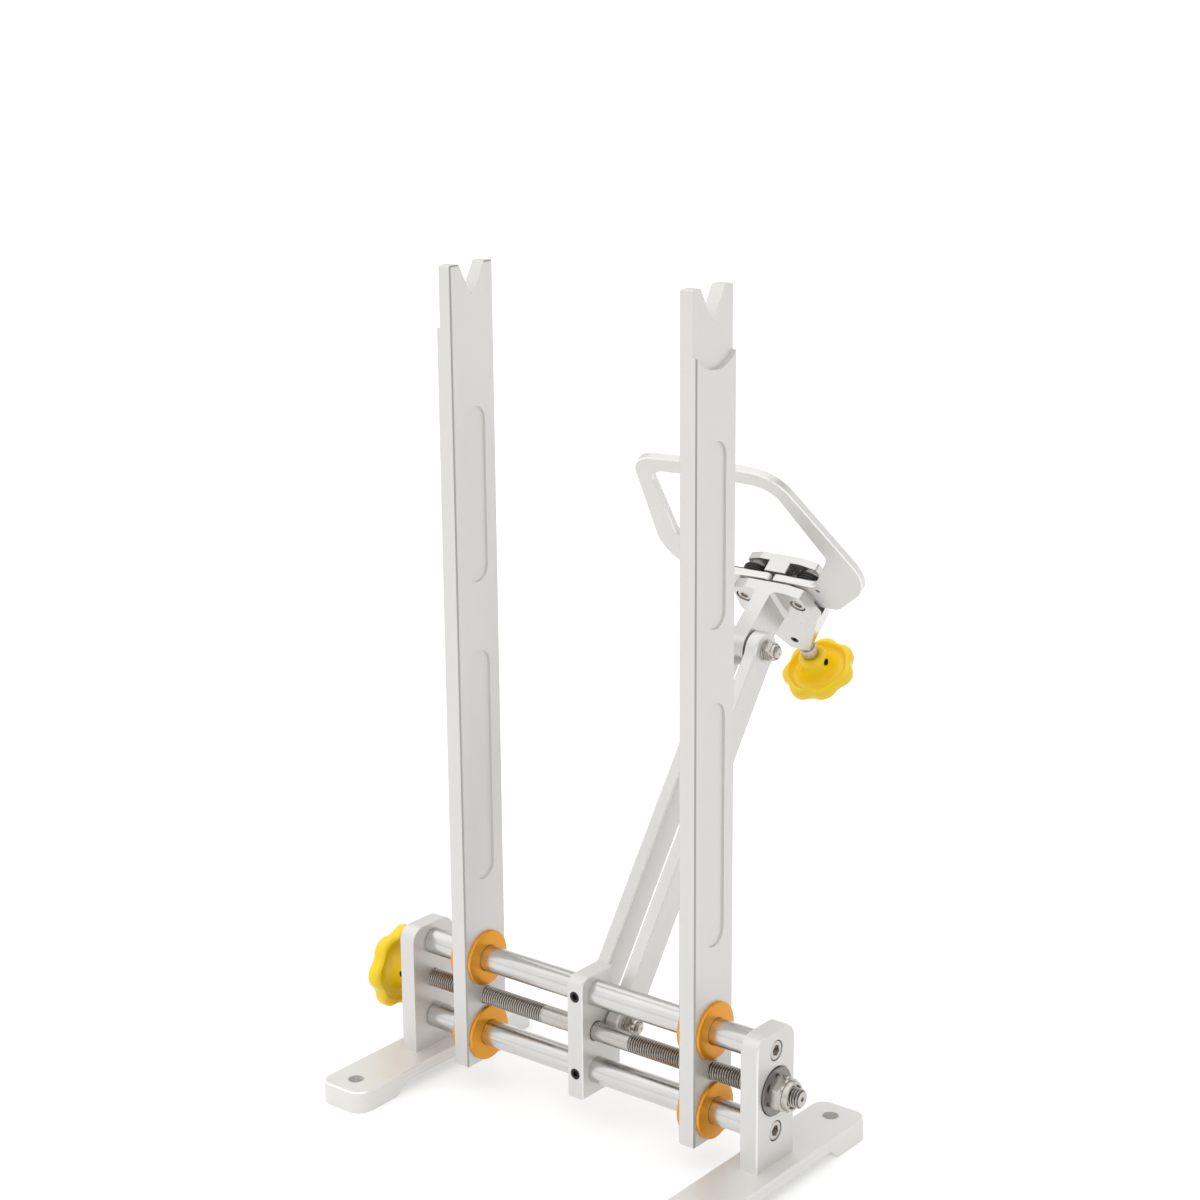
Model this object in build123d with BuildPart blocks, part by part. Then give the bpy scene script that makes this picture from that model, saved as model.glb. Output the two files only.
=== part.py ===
from build123d import *
import os
from math import acos, cos, degrees, radians, sin

os.makedirs("parts", exist_ok=True)

# Bench stand that holds a bicycle wheel by its axle between two notched uprights, while a pair of
# claws on a swinging arm gauges the rim. X runs along the guide rods, Y away from the user, Z up.
# The origin is on the bench top, under the middle of the centre block. Sizes are in millimetres.

# Clearances and fits
RUNNING = 0.05           # radial, a shaft that turns or slides in its hole
PASSING = 0.4            # radial, a hole that a shaft only passes through
FACE_GAP = 0.1           # between faces that slide past each other
HEAD_FIT = 0.4           # radial, a counterbore around a screw head

# Base: two feet, two end plates, two guide rods
END_PLATE_SPAN = 214.8   # between the inner faces of the end plates
END_PLATE_THICKNESS = 10
END_PLATE_WIDTH = 32
END_PLATE_TOP = 83
END_PLATE_CORNER = 8
FOOT_LENGTH = 144
FOOT_WIDTH = 30.5
FOOT_HEIGHT = 12
FOOT_CORNER = 8
FOOT_INNER_STEP = 11     # how far a foot reaches in from the inner face of its end plate
FOOT_PAD_LENGTH = 28.5   # full-depth pad at each end of a foot
FOOT_RAMP_LENGTH = 7     # slope from the pad up to the relieved middle
FOOT_RELIEF = 6          # height of the relieved underside
MOUNT_HOLE_DIAMETER = 8.5
MOUNT_HOLE_SPACING = 117.8
ROD_DIAMETER = 14
ROD_SPACING = 43.1
SCREW_HEIGHT = 51.05     # height of the leadscrew, midway between the rods
EDGE_BREAK = 0.7         # chamfer on machined edges

# Leadscrew and its hand knob
LEADSCREW_DIAMETER = 10
LEADSCREW_END = 15.5     # how far its right end stands out of the end plate
LOCK_NUT_WIDTH = 17      # across flats
LOCK_NUT_HEIGHT = 10
LEADSCREW_WASHER_DIAMETER = 25
LEADSCREW_WASHER_THICKNESS = 2
WASHER_RECESS = 1.0
LEAD_KNOB_RADIUS = 23.2
CALIPER_KNOB_RADIUS = 21.5
KNOB_THICKNESS = 8
KNOB_LOBES = 7
KNOB_LOBE_RADIUS = 8.5
KNOB_VALLEY_RADIUS = 10
KNOB_EDGE_RADIUS = 2
KNOB_HUB_RADIUS = 8.5
KNOB_HUB_PROUD = 10      # how far the hub stands out of the rim
KNOB_RIM_WIDTH = 4.7     # from the lobes' tips in to the dish
KNOB_CUP_DEPTH = 4.5
KNOB_GRUB_DIAMETER = 4

# Uprights
HUB_OPENING = 139.4      # between the inner faces of the uprights, as pictured
UPRIGHT_THICKNESS = 10
UPRIGHT_WIDTH = 32
UPRIGHT_HEIGHT = 429
UPRIGHT_LIFT = 1.8       # its lower end stays clear of the foot that it travels over
NOTCH_DEPTH = 17.4
NOTCH_HALF_WIDTH = 9.5
NOTCH_ROOT_RADIUS = 0.8
SEAT_RADIUS = 21         # round recess for the hub's lock nut, about the notch's root
SEAT_DEPTH = 2.5
POCKET_WIDTH = 16
POCKET_DEPTH = 1.0
LOWER_POCKET = (117.4, 243.0)
UPPER_POCKET = (279.7, 371.0)
BUSH_DIAMETER = 18
BUSH_FLANGE_DIAMETER = 30
BUSH_FLANGE_THICKNESS = 2

# Centre block, with the lug that carries the arm
BLOCK_THICKNESS = 10
BLOCK_FRONT = -11.4
BLOCK_BOTTOM = 16
BLOCK_TOP = 83
BLOCK_STEP = 14          # rear edge beside the upper rod
BLOCK_REAR = 20.3        # rear edge beside the lower rod
BLOCK_TOP_RADIUS = 6
LUG_RADIUS = 11

# Arm
ARM_PIVOT = (16, 51)     # Y and Z of the lower pivot
ARM_LENGTH = 213.4       # between the pivots
ARM_LEAN = 54.5          # degrees above the bench
ARM_BAR_THICKNESS = 7.75
ARM_SLOT = 11.5          # between the two bars
ARM_BAR_WAIST = 17
ARM_EYE_RADIUS = 10
PIVOT_BOLT_DIAMETER = 6
PIVOT_NUT_WIDTH = 10
PIVOT_NUT_HEIGHT = 6
PIVOT_WASHER_DIAMETER = 12
PIVOT_WASHER_THICKNESS = 1
PIVOT_HEAD_DIAMETER = 10

# Caliper head. Depths are measured from the upper pivot along the direction that the head faces
# away from, heights up the claws, both in the head's own tilted frame.
HEAD_TILT = 41.3
HEAD_LUG_THICKNESS = 10
HEAD_LUG_RADIUS = 10.5
HEAD_LUG_DROP = 12.4
FRONT_PLATE_DEPTH = 31
FRONT_PLATE_THICKNESS = 6
SLOT_WIDTH = 14          # between the front and rear plates
REAR_PLATE_THICKNESS = 4.5
SLOT_FLOOR = -17
HEAD_TOP = 10.2
HEAD_BOTTOM = -46
HEAD_SHOULDER = (13, 22.4, 7.4)
HEAD_WIDEST = (25.3, -12)
HEAD_BOTTOM_HALF_WIDTH = 6.2
CLAW_PIVOT_X = 17.8
CLAW_PIN_DIAMETER = 6
CLAW_THICKNESS = 4.3
CLAW_WASHER_THICKNESS = 1.3
CLAW_HUB_RADIUS = 9.5
CLAW_TIP_HALF_GAP = 3.2
SLEEVE_DIAMETER = 12
SPRING_WIRE = 1.7
SPRING_COILS = 4
SPRING_HOLE = (30, 7)    # where the spring's leg hooks into the claw
SPRING_HOLE_DIAMETER = 2.6
SPRING_MEAN_RADIUS = 7.3
SPRING_PITCH = 1.6
SPRING_REST_HEIGHT = -12 # where the other leg presses on the stop block
CLAW_WASHER_DIAMETER = 14
CLAW_EDGE = 0.6          # chamfer around the claws
STOP_BLOCK_WIDTH = 14
STOP_BLOCK_GAP = 1.2     # keeps it clear of the claws and of the caliper screw's end
CLAW_SCREW_HEAD = 8.5
CLAW_SCREW_HEAD_HEIGHT = 3
CLAW_SCREW_SEAT = 3.4    # depth of the counterbore
CLAW_THREAD_DIAMETER = 5
REAR_SCREW_DIAMETER = 4
REAR_SCREW_HEAD = 7
REAR_SCREW_HEAD_HEIGHT = 2.4
REAR_SCREW_LENGTH = 10
REAR_SCREW_X = 9
REAR_SCREW_HEIGHT = -27
LOCK_GRUB_DIAMETER = 5
LOCK_GRUB_HEIGHT = -37
LOCK_GRUB_LENGTH = 2
CALIPER_SCREW_DIAMETER = 8
CALIPER_SCREW_LEAN = 4.7
CALIPER_COLLAR_DIAMETER = 9.6
THRUST_PIN_DIAMETER = 5
THRUST_PIN_LENGTH = 15
THRUST_SHANK_DIAMETER = 3
THRUST_SHANK_LENGTH = 8
CALIPER_TRAVEL = 3.5
CALIPER_COLLAR_START = 53.5  # distances below the thrust pin's nose
CALIPER_KNOB_RIM = 70.5

# Places worked out from the sizes above
plate_inner = END_PLATE_SPAN / 2
plate_outer = plate_inner + END_PLATE_THICKNESS
plate_middle = plate_inner + END_PLATE_THICKNESS / 2
foot_inner = plate_inner - FOOT_INNER_STEP
foot_middle = foot_inner + FOOT_WIDTH / 2
upper_rod_z = SCREW_HEIGHT + ROD_SPACING / 2
lower_rod_z = SCREW_HEIGHT - ROD_SPACING / 2
rod_heights = {"upper": upper_rod_z, "lower": lower_rod_z}
upright_inner = HUB_OPENING / 2
upright_bottom = FOOT_HEIGHT + UPRIGHT_LIFT
upright_top = upright_bottom + UPRIGHT_HEIGHT
notch_root_z = upright_top - NOTCH_DEPTH
lower_pivot = Vector(0, *ARM_PIVOT)
arm_direction = Vector(0, cos(radians(ARM_LEAN)), sin(radians(ARM_LEAN)))
upper_pivot = lower_pivot + arm_direction * ARM_LENGTH
head_normal = Vector(0, cos(radians(HEAD_TILT)), sin(radians(HEAD_TILT)))
head_up = Vector(0, -sin(radians(HEAD_TILT)), cos(radians(HEAD_TILT)))
arm_inner = ARM_SLOT / 2
arm_outer = arm_inner + ARM_BAR_THICKNESS
slot_front = FRONT_PLATE_DEPTH + FRONT_PLATE_THICKNESS
slot_rear = slot_front + SLOT_WIDTH
claw_front = slot_front + CLAW_WASHER_THICKNESS + FACE_GAP
claw_rear = claw_front + CLAW_THICKNESS


def save(piece, name):
    """Label a finished piece and write it under its own name."""
    piece.label = name
    export_step(piece, f"parts/{name}.step")


def across(side, x):
    """Plane square to the guide rods at distance x, with its normal pointing outwards."""
    return Plane(origin=(side * x, 0, 0), x_dir=(0, side, 0), z_dir=(side, 0, 0))


def shaft_plane(side, x):
    """Plane square to the leadscrew and centred on it, with its normal pointing outwards."""
    return Plane(origin=(side * x, 0, SCREW_HEIGHT), x_dir=(0, side, 0), z_dir=(side, 0, 0))


def pivot_plane(side, x, centre):
    """Plane square to X and centred on a pivot, with its normal pointing outwards."""
    origin = (side * x, centre.Y, centre.Z)
    return Plane(origin=origin, x_dir=(0, side, 0), z_dir=(side, 0, 0))


def head_plane(depth, x=0.0, height=0.0):
    """Plane parallel to the caliper's plates: sketch x is X, sketch y runs up the claws."""
    origin = upper_pivot + head_normal * depth + head_up * height + Vector(x, 0, 0)
    return Plane(origin=origin, x_dir=(1, 0, 0), z_dir=-head_normal)


# ---------------------------------------------------------------- feet and end plates
FOOT_SCREW_SPACING = 16
FOOT_SCREW_DIAMETER = 6
FOOT_SCREW_HEAD_DIAMETER = 10
FOOT_SCREW_HEAD_HEIGHT = 3.4
FOOT_SCREW_DEPTH = 12
foot_screw_spots = [(0, -FOOT_SCREW_SPACING / 2), (0, FOOT_SCREW_SPACING / 2)]
foot_screw_seat = FOOT_RELIEF + FOOT_SCREW_HEAD_HEIGHT

ROD_SCREW_DIAMETER = 6
ROD_SCREW_HEAD_DIAMETER = 10
ROD_SCREW_HEAD_HEIGHT = 6
ROD_SCREW_SOCKET = 5
ROD_SCREW_DEPTH = 14


def foot(side):
    """A bar lying across the stand, relieved underneath so that it rests on a pad at each end."""
    half = FOOT_LENGTH / 2
    pad = half - FOOT_PAD_LENGTH
    relief = pad - FOOT_RAMP_LENGTH
    with BuildPart() as piece:
        with BuildSketch(Plane.YZ.offset(side * foot_middle)):
            with BuildLine():
                Polyline((-half, 0), (-pad, 0), (-relief, FOOT_RELIEF), (relief, FOOT_RELIEF),
                         (pad, 0), (half, 0), (half, FOOT_HEIGHT), (-half, FOOT_HEIGHT), close=True)
            make_face()
        extrude(amount=FOOT_WIDTH / 2, both=True)
        ramp_edges = piece.edges().filter_by(Axis.X).filter_by(
            lambda edge: abs(edge.center().Y) < half - 1 and edge.center().Z < FOOT_HEIGHT - 1)
        fillet(ramp_edges, radius=FOOT_RAMP_LENGTH * 0.6)
        corners = piece.edges().filter_by(Axis.Z)
        fillet(corners, radius=FOOT_CORNER)
        chamfer(piece.faces().sort_by(Axis.Z)[-1].edges(), length=EDGE_BREAK)
        with Locations((side * foot_middle, -MOUNT_HOLE_SPACING / 2, FOOT_HEIGHT),
                       (side * foot_middle, MOUNT_HOLE_SPACING / 2, FOOT_HEIGHT)):
            Hole(radius=MOUNT_HOLE_DIAMETER / 2)
        with BuildSketch(Plane.XY.offset(FOOT_HEIGHT)):
            with Locations((side * plate_middle, 0)):
                with Locations(*foot_screw_spots):
                    Circle(FOOT_SCREW_DIAMETER / 2 + PASSING)
        extrude(amount=-FOOT_HEIGHT, mode=Mode.SUBTRACT)
        with BuildSketch(Plane.XY.offset(foot_screw_seat)):
            with Locations((side * plate_middle, 0)):
                with Locations(*foot_screw_spots):
                    Circle(FOOT_SCREW_HEAD_DIAMETER / 2 + HEAD_FIT)
        extrude(amount=-foot_screw_seat, mode=Mode.SUBTRACT)
    return piece.part


def end_plate(side):
    """Upright plate that clamps the two rods' ends and carries one end of the leadscrew."""
    with BuildPart() as piece:
        with BuildSketch(across(side, plate_inner)) as face:
            with Locations((0, (FOOT_HEIGHT + END_PLATE_TOP) / 2)):
                Rectangle(END_PLATE_WIDTH, END_PLATE_TOP - FOOT_HEIGHT)
            fillet(face.vertices().group_by(Axis.Y)[-1], radius=END_PLATE_CORNER)
        extrude(amount=END_PLATE_THICKNESS)
        outer = piece.faces().sort_by(Axis.X)[-1 if side > 0 else 0]
        chamfer(outer.edges().filter_by(lambda e: e.center().Z > FOOT_HEIGHT + 1), length=EDGE_BREAK)
        with Locations(across(side, plate_outer)):
            with Locations((0, upper_rod_z), (0, lower_rod_z)):
                CounterBoreHole(ROD_SCREW_DIAMETER / 2 + PASSING,
                                ROD_SCREW_HEAD_DIAMETER / 2 + HEAD_FIT,
                                ROD_SCREW_HEAD_HEIGHT + FACE_GAP)
            with Locations((0, SCREW_HEIGHT)):
                CounterBoreHole(LEADSCREW_DIAMETER / 2 + RUNNING,
                                LEADSCREW_WASHER_DIAMETER / 2 + HEAD_FIT, WASHER_RECESS)
        with BuildSketch(Plane.XY.offset(FOOT_HEIGHT)):
            with Locations((side * plate_middle, 0)):
                with Locations(*foot_screw_spots):
                    Circle(FOOT_SCREW_DIAMETER / 2)
        extrude(amount=FOOT_SCREW_DEPTH, mode=Mode.SUBTRACT)
    return piece.part


for side, name in ((-1, "left"), (1, "right")):
    save(foot(side), f"{name}_foot")
    save(end_plate(side), f"{name}_end_plate")

with BuildPart() as foot_screws:
    for side in (-1, 1):
        centre = side * plate_middle
        with BuildSketch(Plane.XY.offset(foot_screw_seat - FOOT_SCREW_HEAD_HEIGHT)):
            with Locations((centre, 0)):
                with Locations(*foot_screw_spots):
                    Circle(FOOT_SCREW_HEAD_DIAMETER / 2)
        extrude(amount=FOOT_SCREW_HEAD_HEIGHT)
        with BuildSketch(Plane.XY.offset(foot_screw_seat)):
            with Locations((centre, 0)):
                with Locations(*foot_screw_spots):
                    Circle(FOOT_SCREW_DIAMETER / 2)
        extrude(amount=FOOT_HEIGHT + FOOT_SCREW_DEPTH - 1 - foot_screw_seat)
        with BuildSketch(Plane.XY.offset(foot_screw_seat - FOOT_SCREW_HEAD_HEIGHT)):
            with Locations((centre, 0)):
                with Locations(*foot_screw_spots):
                    RegularPolygon(radius=2, side_count=6, major_radius=False)
        extrude(amount=FOOT_SCREW_HEAD_HEIGHT - 1, mode=Mode.SUBTRACT)
save(foot_screws.part, "foot_screws")

# ---------------------------------------------------------------- guide rods
for name, height in rod_heights.items():
    with BuildPart() as rod:
        with BuildSketch(Plane.YZ):
            with Locations((0, height)):
                Circle(ROD_DIAMETER / 2)
        extrude(amount=plate_inner, both=True)
        ends = rod.edges().filter_by(GeomType.CIRCLE)
        chamfer(ends, length=EDGE_BREAK)
        for side in (-1, 1):
            with BuildSketch(across(side, plate_inner)):
                with Locations((0, height)):
                    Circle(ROD_SCREW_DIAMETER / 2)
            extrude(amount=-ROD_SCREW_DEPTH, mode=Mode.SUBTRACT)
    save(rod.part, f"{name}_guide_rod")

with BuildPart() as rod_end_screws:
    seat = plate_outer - ROD_SCREW_HEAD_HEIGHT - FACE_GAP
    for side in (-1, 1):
        for height in rod_heights.values():
            with BuildSketch(across(side, seat)):
                with Locations((0, height)):
                    Circle(ROD_SCREW_HEAD_DIAMETER / 2)
            extrude(amount=ROD_SCREW_HEAD_HEIGHT)
            with BuildSketch(across(side, seat)):
                with Locations((0, height)):
                    Circle(ROD_SCREW_DIAMETER / 2)
            extrude(amount=-(seat - plate_inner) - ROD_SCREW_DEPTH + 1)
            with BuildSketch(across(side, seat + ROD_SCREW_HEAD_HEIGHT)):
                with Locations((0, height)):
                    RegularPolygon(radius=ROD_SCREW_SOCKET / 2, side_count=6, major_radius=False)
            extrude(amount=-ROD_SCREW_HEAD_HEIGHT / 2, mode=Mode.SUBTRACT)
save(rod_end_screws.part, "rod_end_screws")

# ---------------------------------------------------------------- centre block
GRUB_DIAMETER = 6
GRUB_SOCKET = 3
grub_length = -BLOCK_FRONT - ROD_DIAMETER / 2 - 2 * FACE_GAP
lug_y, lug_z = ARM_PIVOT
with BuildPart() as centre_block:
    with BuildSketch(Plane.YZ) as profile:
        with BuildLine():
            Polyline((BLOCK_FRONT, BLOCK_BOTTOM), (BLOCK_FRONT, BLOCK_TOP), (BLOCK_STEP, BLOCK_TOP),
                     (BLOCK_STEP, lug_z), (BLOCK_REAR, lug_z), (BLOCK_REAR, BLOCK_BOTTOM), close=True)
        make_face()
        with Locations(ARM_PIVOT):
            Circle(LUG_RADIUS)
        fillet(profile.vertices().filter_by(lambda v: abs(v.Y - BLOCK_TOP) < 0.1 and v.X < 0),
               radius=BLOCK_TOP_RADIUS)
        concave = profile.vertices().filter_by(
            lambda v: v.X > BLOCK_STEP - 0.1 and BLOCK_BOTTOM + 1 < v.Y < BLOCK_TOP - 1)
        fillet(concave, radius=5)
    extrude(amount=BLOCK_THICKNESS / 2, both=True)
    for side in (-1, 1):
        rim = centre_block.faces().sort_by(Axis.X)[0 if side < 0 else -1].edges()
        chamfer(rim, length=0.5)
    with BuildSketch(Plane.YZ.offset(BLOCK_THICKNESS / 2)):
        with Locations((0, upper_rod_z), (0, lower_rod_z)):
            Circle(ROD_DIAMETER / 2)
        with Locations((0, SCREW_HEIGHT)):
            Circle(LEADSCREW_DIAMETER / 2 + PASSING)
        with Locations(ARM_PIVOT):
            Circle(PIVOT_BOLT_DIAMETER / 2 + RUNNING)
    extrude(amount=-BLOCK_THICKNESS, mode=Mode.SUBTRACT)
    with BuildSketch(Plane.XZ.offset(-BLOCK_FRONT)):
        with Locations((0, upper_rod_z), (0, lower_rod_z)):
            Circle(GRUB_DIAMETER / 2)
    extrude(amount=BLOCK_FRONT, mode=Mode.SUBTRACT)
save(centre_block.part, "centre_block")

with BuildPart() as block_grub_screws:
    with BuildSketch(Plane.XZ.offset(-BLOCK_FRONT - FACE_GAP)):
        with Locations((0, upper_rod_z), (0, lower_rod_z)):
            Circle(GRUB_DIAMETER / 2)
            RegularPolygon(radius=GRUB_SOCKET / 2, side_count=6, major_radius=False,
                           mode=Mode.SUBTRACT)
    extrude(amount=-grub_length / 2)
    with BuildSketch(Plane.XZ.offset(-BLOCK_FRONT - FACE_GAP - grub_length / 2)):
        with Locations((0, upper_rod_z), (0, lower_rod_z)):
            Circle(GRUB_DIAMETER / 2)
    extrude(amount=-grub_length / 2)
save(block_grub_screws.part, "block_grub_screws")

# ---------------------------------------------------------------- leadscrew and its fittings
washer_outer = plate_outer - WASHER_RECESS + LEADSCREW_WASHER_THICKNESS
knob_rim = washer_outer + KNOB_HUB_PROUD
knob_back = knob_rim + KNOB_THICKNESS
leadscrew_left = knob_back - 2
leadscrew_right = plate_outer + LEADSCREW_END
CENTRE_DRILL = 1.5

with BuildPart() as leadscrew:
    with BuildSketch(Plane.YZ.offset(-leadscrew_left)):
        with Locations((0, SCREW_HEIGHT)):
            Circle(LEADSCREW_DIAMETER / 2)
    extrude(amount=leadscrew_left + leadscrew_right)
    chamfer(leadscrew.edges().filter_by(GeomType.CIRCLE), length=1)
    with BuildSketch(Plane.YZ.offset(leadscrew_right)):
        with Locations((0, SCREW_HEIGHT)):
            Circle(CENTRE_DRILL)
    extrude(amount=-2 * CENTRE_DRILL, taper=20, mode=Mode.SUBTRACT)
save(leadscrew.part, "leadscrew")


def washer(plane, outer, inner, thickness):
    """Flat ring, thickness measured along the plane's normal."""
    with BuildPart() as piece:
        with BuildSketch(plane):
            Circle(outer)
            Circle(inner, mode=Mode.SUBTRACT)
        extrude(amount=thickness)
    return piece.part


def lock_nut(plane, width, height, bore):
    """Hexagon nut with a rounded collar at its outer end that holds the nylon ring."""
    hexagon_height = height * 0.72
    with BuildPart() as piece:
        with BuildSketch(plane):
            RegularPolygon(radius=width / 2, side_count=6, major_radius=False)
        extrude(amount=hexagon_height)
        with BuildSketch(plane):
            Circle(width / 2 * 1.1)
        extrude(amount=hexagon_height, mode=Mode.INTERSECT)
        with BuildSketch(plane.offset(hexagon_height)):
            Circle(width / 2 * 0.93)
        extrude(amount=height - hexagon_height)
        fillet(piece.edges().filter_by(GeomType.CIRCLE).sort_by(
            lambda e: (e.center() - plane.origin).dot(plane.z_dir))[-1], radius=1)
        with BuildSketch(plane):
            Circle(bore)
        extrude(amount=height, mode=Mode.SUBTRACT)
    return piece.part


leadscrew_washers = Compound(children=[
    washer(shaft_plane(side, plate_outer - WASHER_RECESS + FACE_GAP),
           LEADSCREW_WASHER_DIAMETER / 2, LEADSCREW_DIAMETER / 2,
           LEADSCREW_WASHER_THICKNESS - FACE_GAP)
    for side in (-1, 1)])
save(leadscrew_washers, "leadscrew_washers")
leadscrew_lock_nut = lock_nut(shaft_plane(1, washer_outer), LOCK_NUT_WIDTH, LOCK_NUT_HEIGHT,
                              LEADSCREW_DIAMETER / 2)
save(leadscrew_lock_nut, "leadscrew_lock_nut")


def star_outline(radius):
    """Round lobes joined by round valleys, each arc tangent to its neighbours."""
    half_step = 180 / KNOB_LOBES
    lobe = Vector(radius - KNOB_LOBE_RADIUS, 0)
    reach = KNOB_LOBE_RADIUS + KNOB_VALLEY_RADIUS
    sideways = lobe.X * sin(radians(half_step))
    valley = Vector(lobe.X * cos(radians(half_step)) + (reach ** 2 - sideways ** 2) ** 0.5, 0)
    valley = valley.rotate(Axis.Z, half_step)
    touch = lobe + (valley - lobe).normalized() * KNOB_LOBE_RADIUS
    mirrored = Vector(touch.X, -touch.Y)
    tip = Vector(radius, 0)
    bottom = valley - valley.normalized() * KNOB_VALLEY_RADIUS
    with BuildSketch() as star:
        with BuildLine():
            for lobe_number in range(KNOB_LOBES):
                turn = 2 * half_step * lobe_number
                ThreePointArc(*[p.rotate(Axis.Z, turn) for p in (mirrored, tip, touch)])
                following = mirrored.rotate(Axis.Z, turn + 2 * half_step)
                ThreePointArc(*[p.rotate(Axis.Z, turn) for p in (touch, bottom)], following)
        make_face()
    return star.sketch


star_profiles = {radius: star_outline(radius) for radius in (LEAD_KNOB_RADIUS, CALIPER_KNOB_RADIUS)}


def star_knob(rim, radius, bore, bore_depth):
    """Lobed knob with a dished rim and a proud hub. The plane is at the rim, facing its back."""
    with BuildPart() as piece:
        with BuildSketch(rim):
            add(star_profiles[radius])
        extrude(amount=KNOB_THICKNESS)
        middle = rim.origin + rim.z_dir * KNOB_THICKNESS / 2
        outer_rims = piece.edges().filter_by(
            lambda e: abs((e.center() - middle).dot(rim.z_dir)) > KNOB_THICKNESS / 2 - 0.01)
        fillet(outer_rims, radius=KNOB_EDGE_RADIUS)
        with BuildSketch(rim):
            Circle(radius - KNOB_RIM_WIDTH)
        extrude(amount=KNOB_CUP_DEPTH, taper=8, mode=Mode.SUBTRACT)
        with BuildSketch(rim.offset(-KNOB_HUB_PROUD)):
            Circle(KNOB_HUB_RADIUS)
        extrude(amount=KNOB_HUB_PROUD + KNOB_CUP_DEPTH + 1)
        with BuildSketch(rim.offset(-KNOB_HUB_PROUD)):
            Circle(bore)
        extrude(amount=bore_depth, mode=Mode.SUBTRACT)
        with BuildSketch(grub_plane(rim, 0)):
            Circle(KNOB_GRUB_DIAMETER / 2)
        extrude(amount=KNOB_HUB_RADIUS + 1, mode=Mode.SUBTRACT)
    return piece.part


def grub_plane(rim, distance):
    """Plane across the hub's set screw, at a distance from the shaft's axis."""
    origin = rim.origin - rim.z_dir * KNOB_HUB_PROUD / 2 + rim.x_dir * distance
    return Plane(origin=origin, z_dir=rim.x_dir, x_dir=rim.y_dir)


def knob_grub_screw(rim, bore):
    """Set screw across the knob's hub, ending on the shaft."""
    outer_end = KNOB_HUB_RADIUS - 2 * FACE_GAP
    with BuildPart() as piece:
        with BuildSketch(grub_plane(rim, bore + FACE_GAP)):
            Circle(KNOB_GRUB_DIAMETER / 2)
        extrude(amount=outer_end - bore - FACE_GAP)
        with BuildSketch(grub_plane(rim, outer_end)):
            RegularPolygon(radius=1, side_count=6, major_radius=False)
        extrude(amount=-1.5, mode=Mode.SUBTRACT)
    return piece.part


lead_knob_rim = shaft_plane(-1, knob_rim)
save(star_knob(lead_knob_rim, LEAD_KNOB_RADIUS, LEADSCREW_DIAMETER / 2, leadscrew_left - washer_outer),
     "lead_knob")
save(knob_grub_screw(lead_knob_rim, LEADSCREW_DIAMETER / 2), "lead_knob_grub_screw")

# ---------------------------------------------------------------- uprights and their bushes


def upright(side):
    """Notched bar that rides on both rods through flanged bushes, threaded on the leadscrew."""
    outer_x = upright_inner + UPRIGHT_THICKNESS
    with BuildPart() as piece:
        with BuildSketch(across(side, upright_inner)) as face:
            with Locations((0, (upright_bottom + upright_top) / 2)):
                Rectangle(UPRIGHT_WIDTH, UPRIGHT_HEIGHT)
            fillet(face.vertices(), radius=1)
        extrude(amount=UPRIGHT_THICKNESS)
        long_edges = piece.edges().filter_by(Axis.Z)
        chamfer(long_edges, length=EDGE_BREAK)
        for x, inward in ((upright_inner, 1), (outer_x, -1)):
            for low, high in (LOWER_POCKET, UPPER_POCKET):
                with BuildSketch(across(side, x)):
                    with Locations((0, (low + high) / 2)):
                        SlotOverall(high - low, POCKET_WIDTH, rotation=90)
                extrude(amount=inward * POCKET_DEPTH, mode=Mode.SUBTRACT)
        with BuildSketch(across(side, outer_x)):
            with Locations((0, notch_root_z)):
                Circle(SEAT_RADIUS)
            with Locations((0, notch_root_z + SEAT_RADIUS)):
                Rectangle(2 * SEAT_RADIUS, 2 * SEAT_RADIUS)
        extrude(amount=-SEAT_DEPTH, mode=Mode.SUBTRACT)
        with BuildSketch(across(side, outer_x)) as notch:
            with BuildLine():
                Polyline((0, notch_root_z), (NOTCH_HALF_WIDTH, upright_top),
                         (NOTCH_HALF_WIDTH, upright_top + 1), (-NOTCH_HALF_WIDTH, upright_top + 1),
                         (-NOTCH_HALF_WIDTH, upright_top), close=True)
            make_face()
            fillet(notch.vertices().sort_by(Axis.Y)[0], radius=NOTCH_ROOT_RADIUS)
        extrude(amount=-UPRIGHT_THICKNESS, mode=Mode.SUBTRACT)
        with BuildSketch(across(side, outer_x)):
            with Locations((0, upper_rod_z), (0, lower_rod_z)):
                Circle(BUSH_DIAMETER / 2)
            with Locations((0, SCREW_HEIGHT)):
                Circle(LEADSCREW_DIAMETER / 2 + RUNNING)
        extrude(amount=-UPRIGHT_THICKNESS, mode=Mode.SUBTRACT)
    return piece.part


def bush_set(side):
    """Two flanged bushes for each rod, pressed in from both faces of the upright."""
    sleeve = UPRIGHT_THICKNESS / 2 - FACE_GAP
    with BuildPart() as pieces:
        for x, outward in ((upright_inner, -1), (upright_inner + UPRIGHT_THICKNESS, 1)):
            for height in rod_heights.values():
                with BuildSketch(across(side, x)):
                    with Locations((0, height)):
                        Circle(BUSH_FLANGE_DIAMETER / 2)
                        Circle(ROD_DIAMETER / 2 + RUNNING, mode=Mode.SUBTRACT)
                extrude(amount=outward * BUSH_FLANGE_THICKNESS)
                with BuildSketch(across(side, x)):
                    with Locations((0, height)):
                        Circle(BUSH_DIAMETER / 2)
                        Circle(ROD_DIAMETER / 2 + RUNNING, mode=Mode.SUBTRACT)
                extrude(amount=-outward * sleeve)
    return pieces.part


for side, name in ((-1, "left"), (1, "right")):
    save(upright(side), f"{name}_upright")
    save(bush_set(side), f"{name}_upright_bushes")

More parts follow.
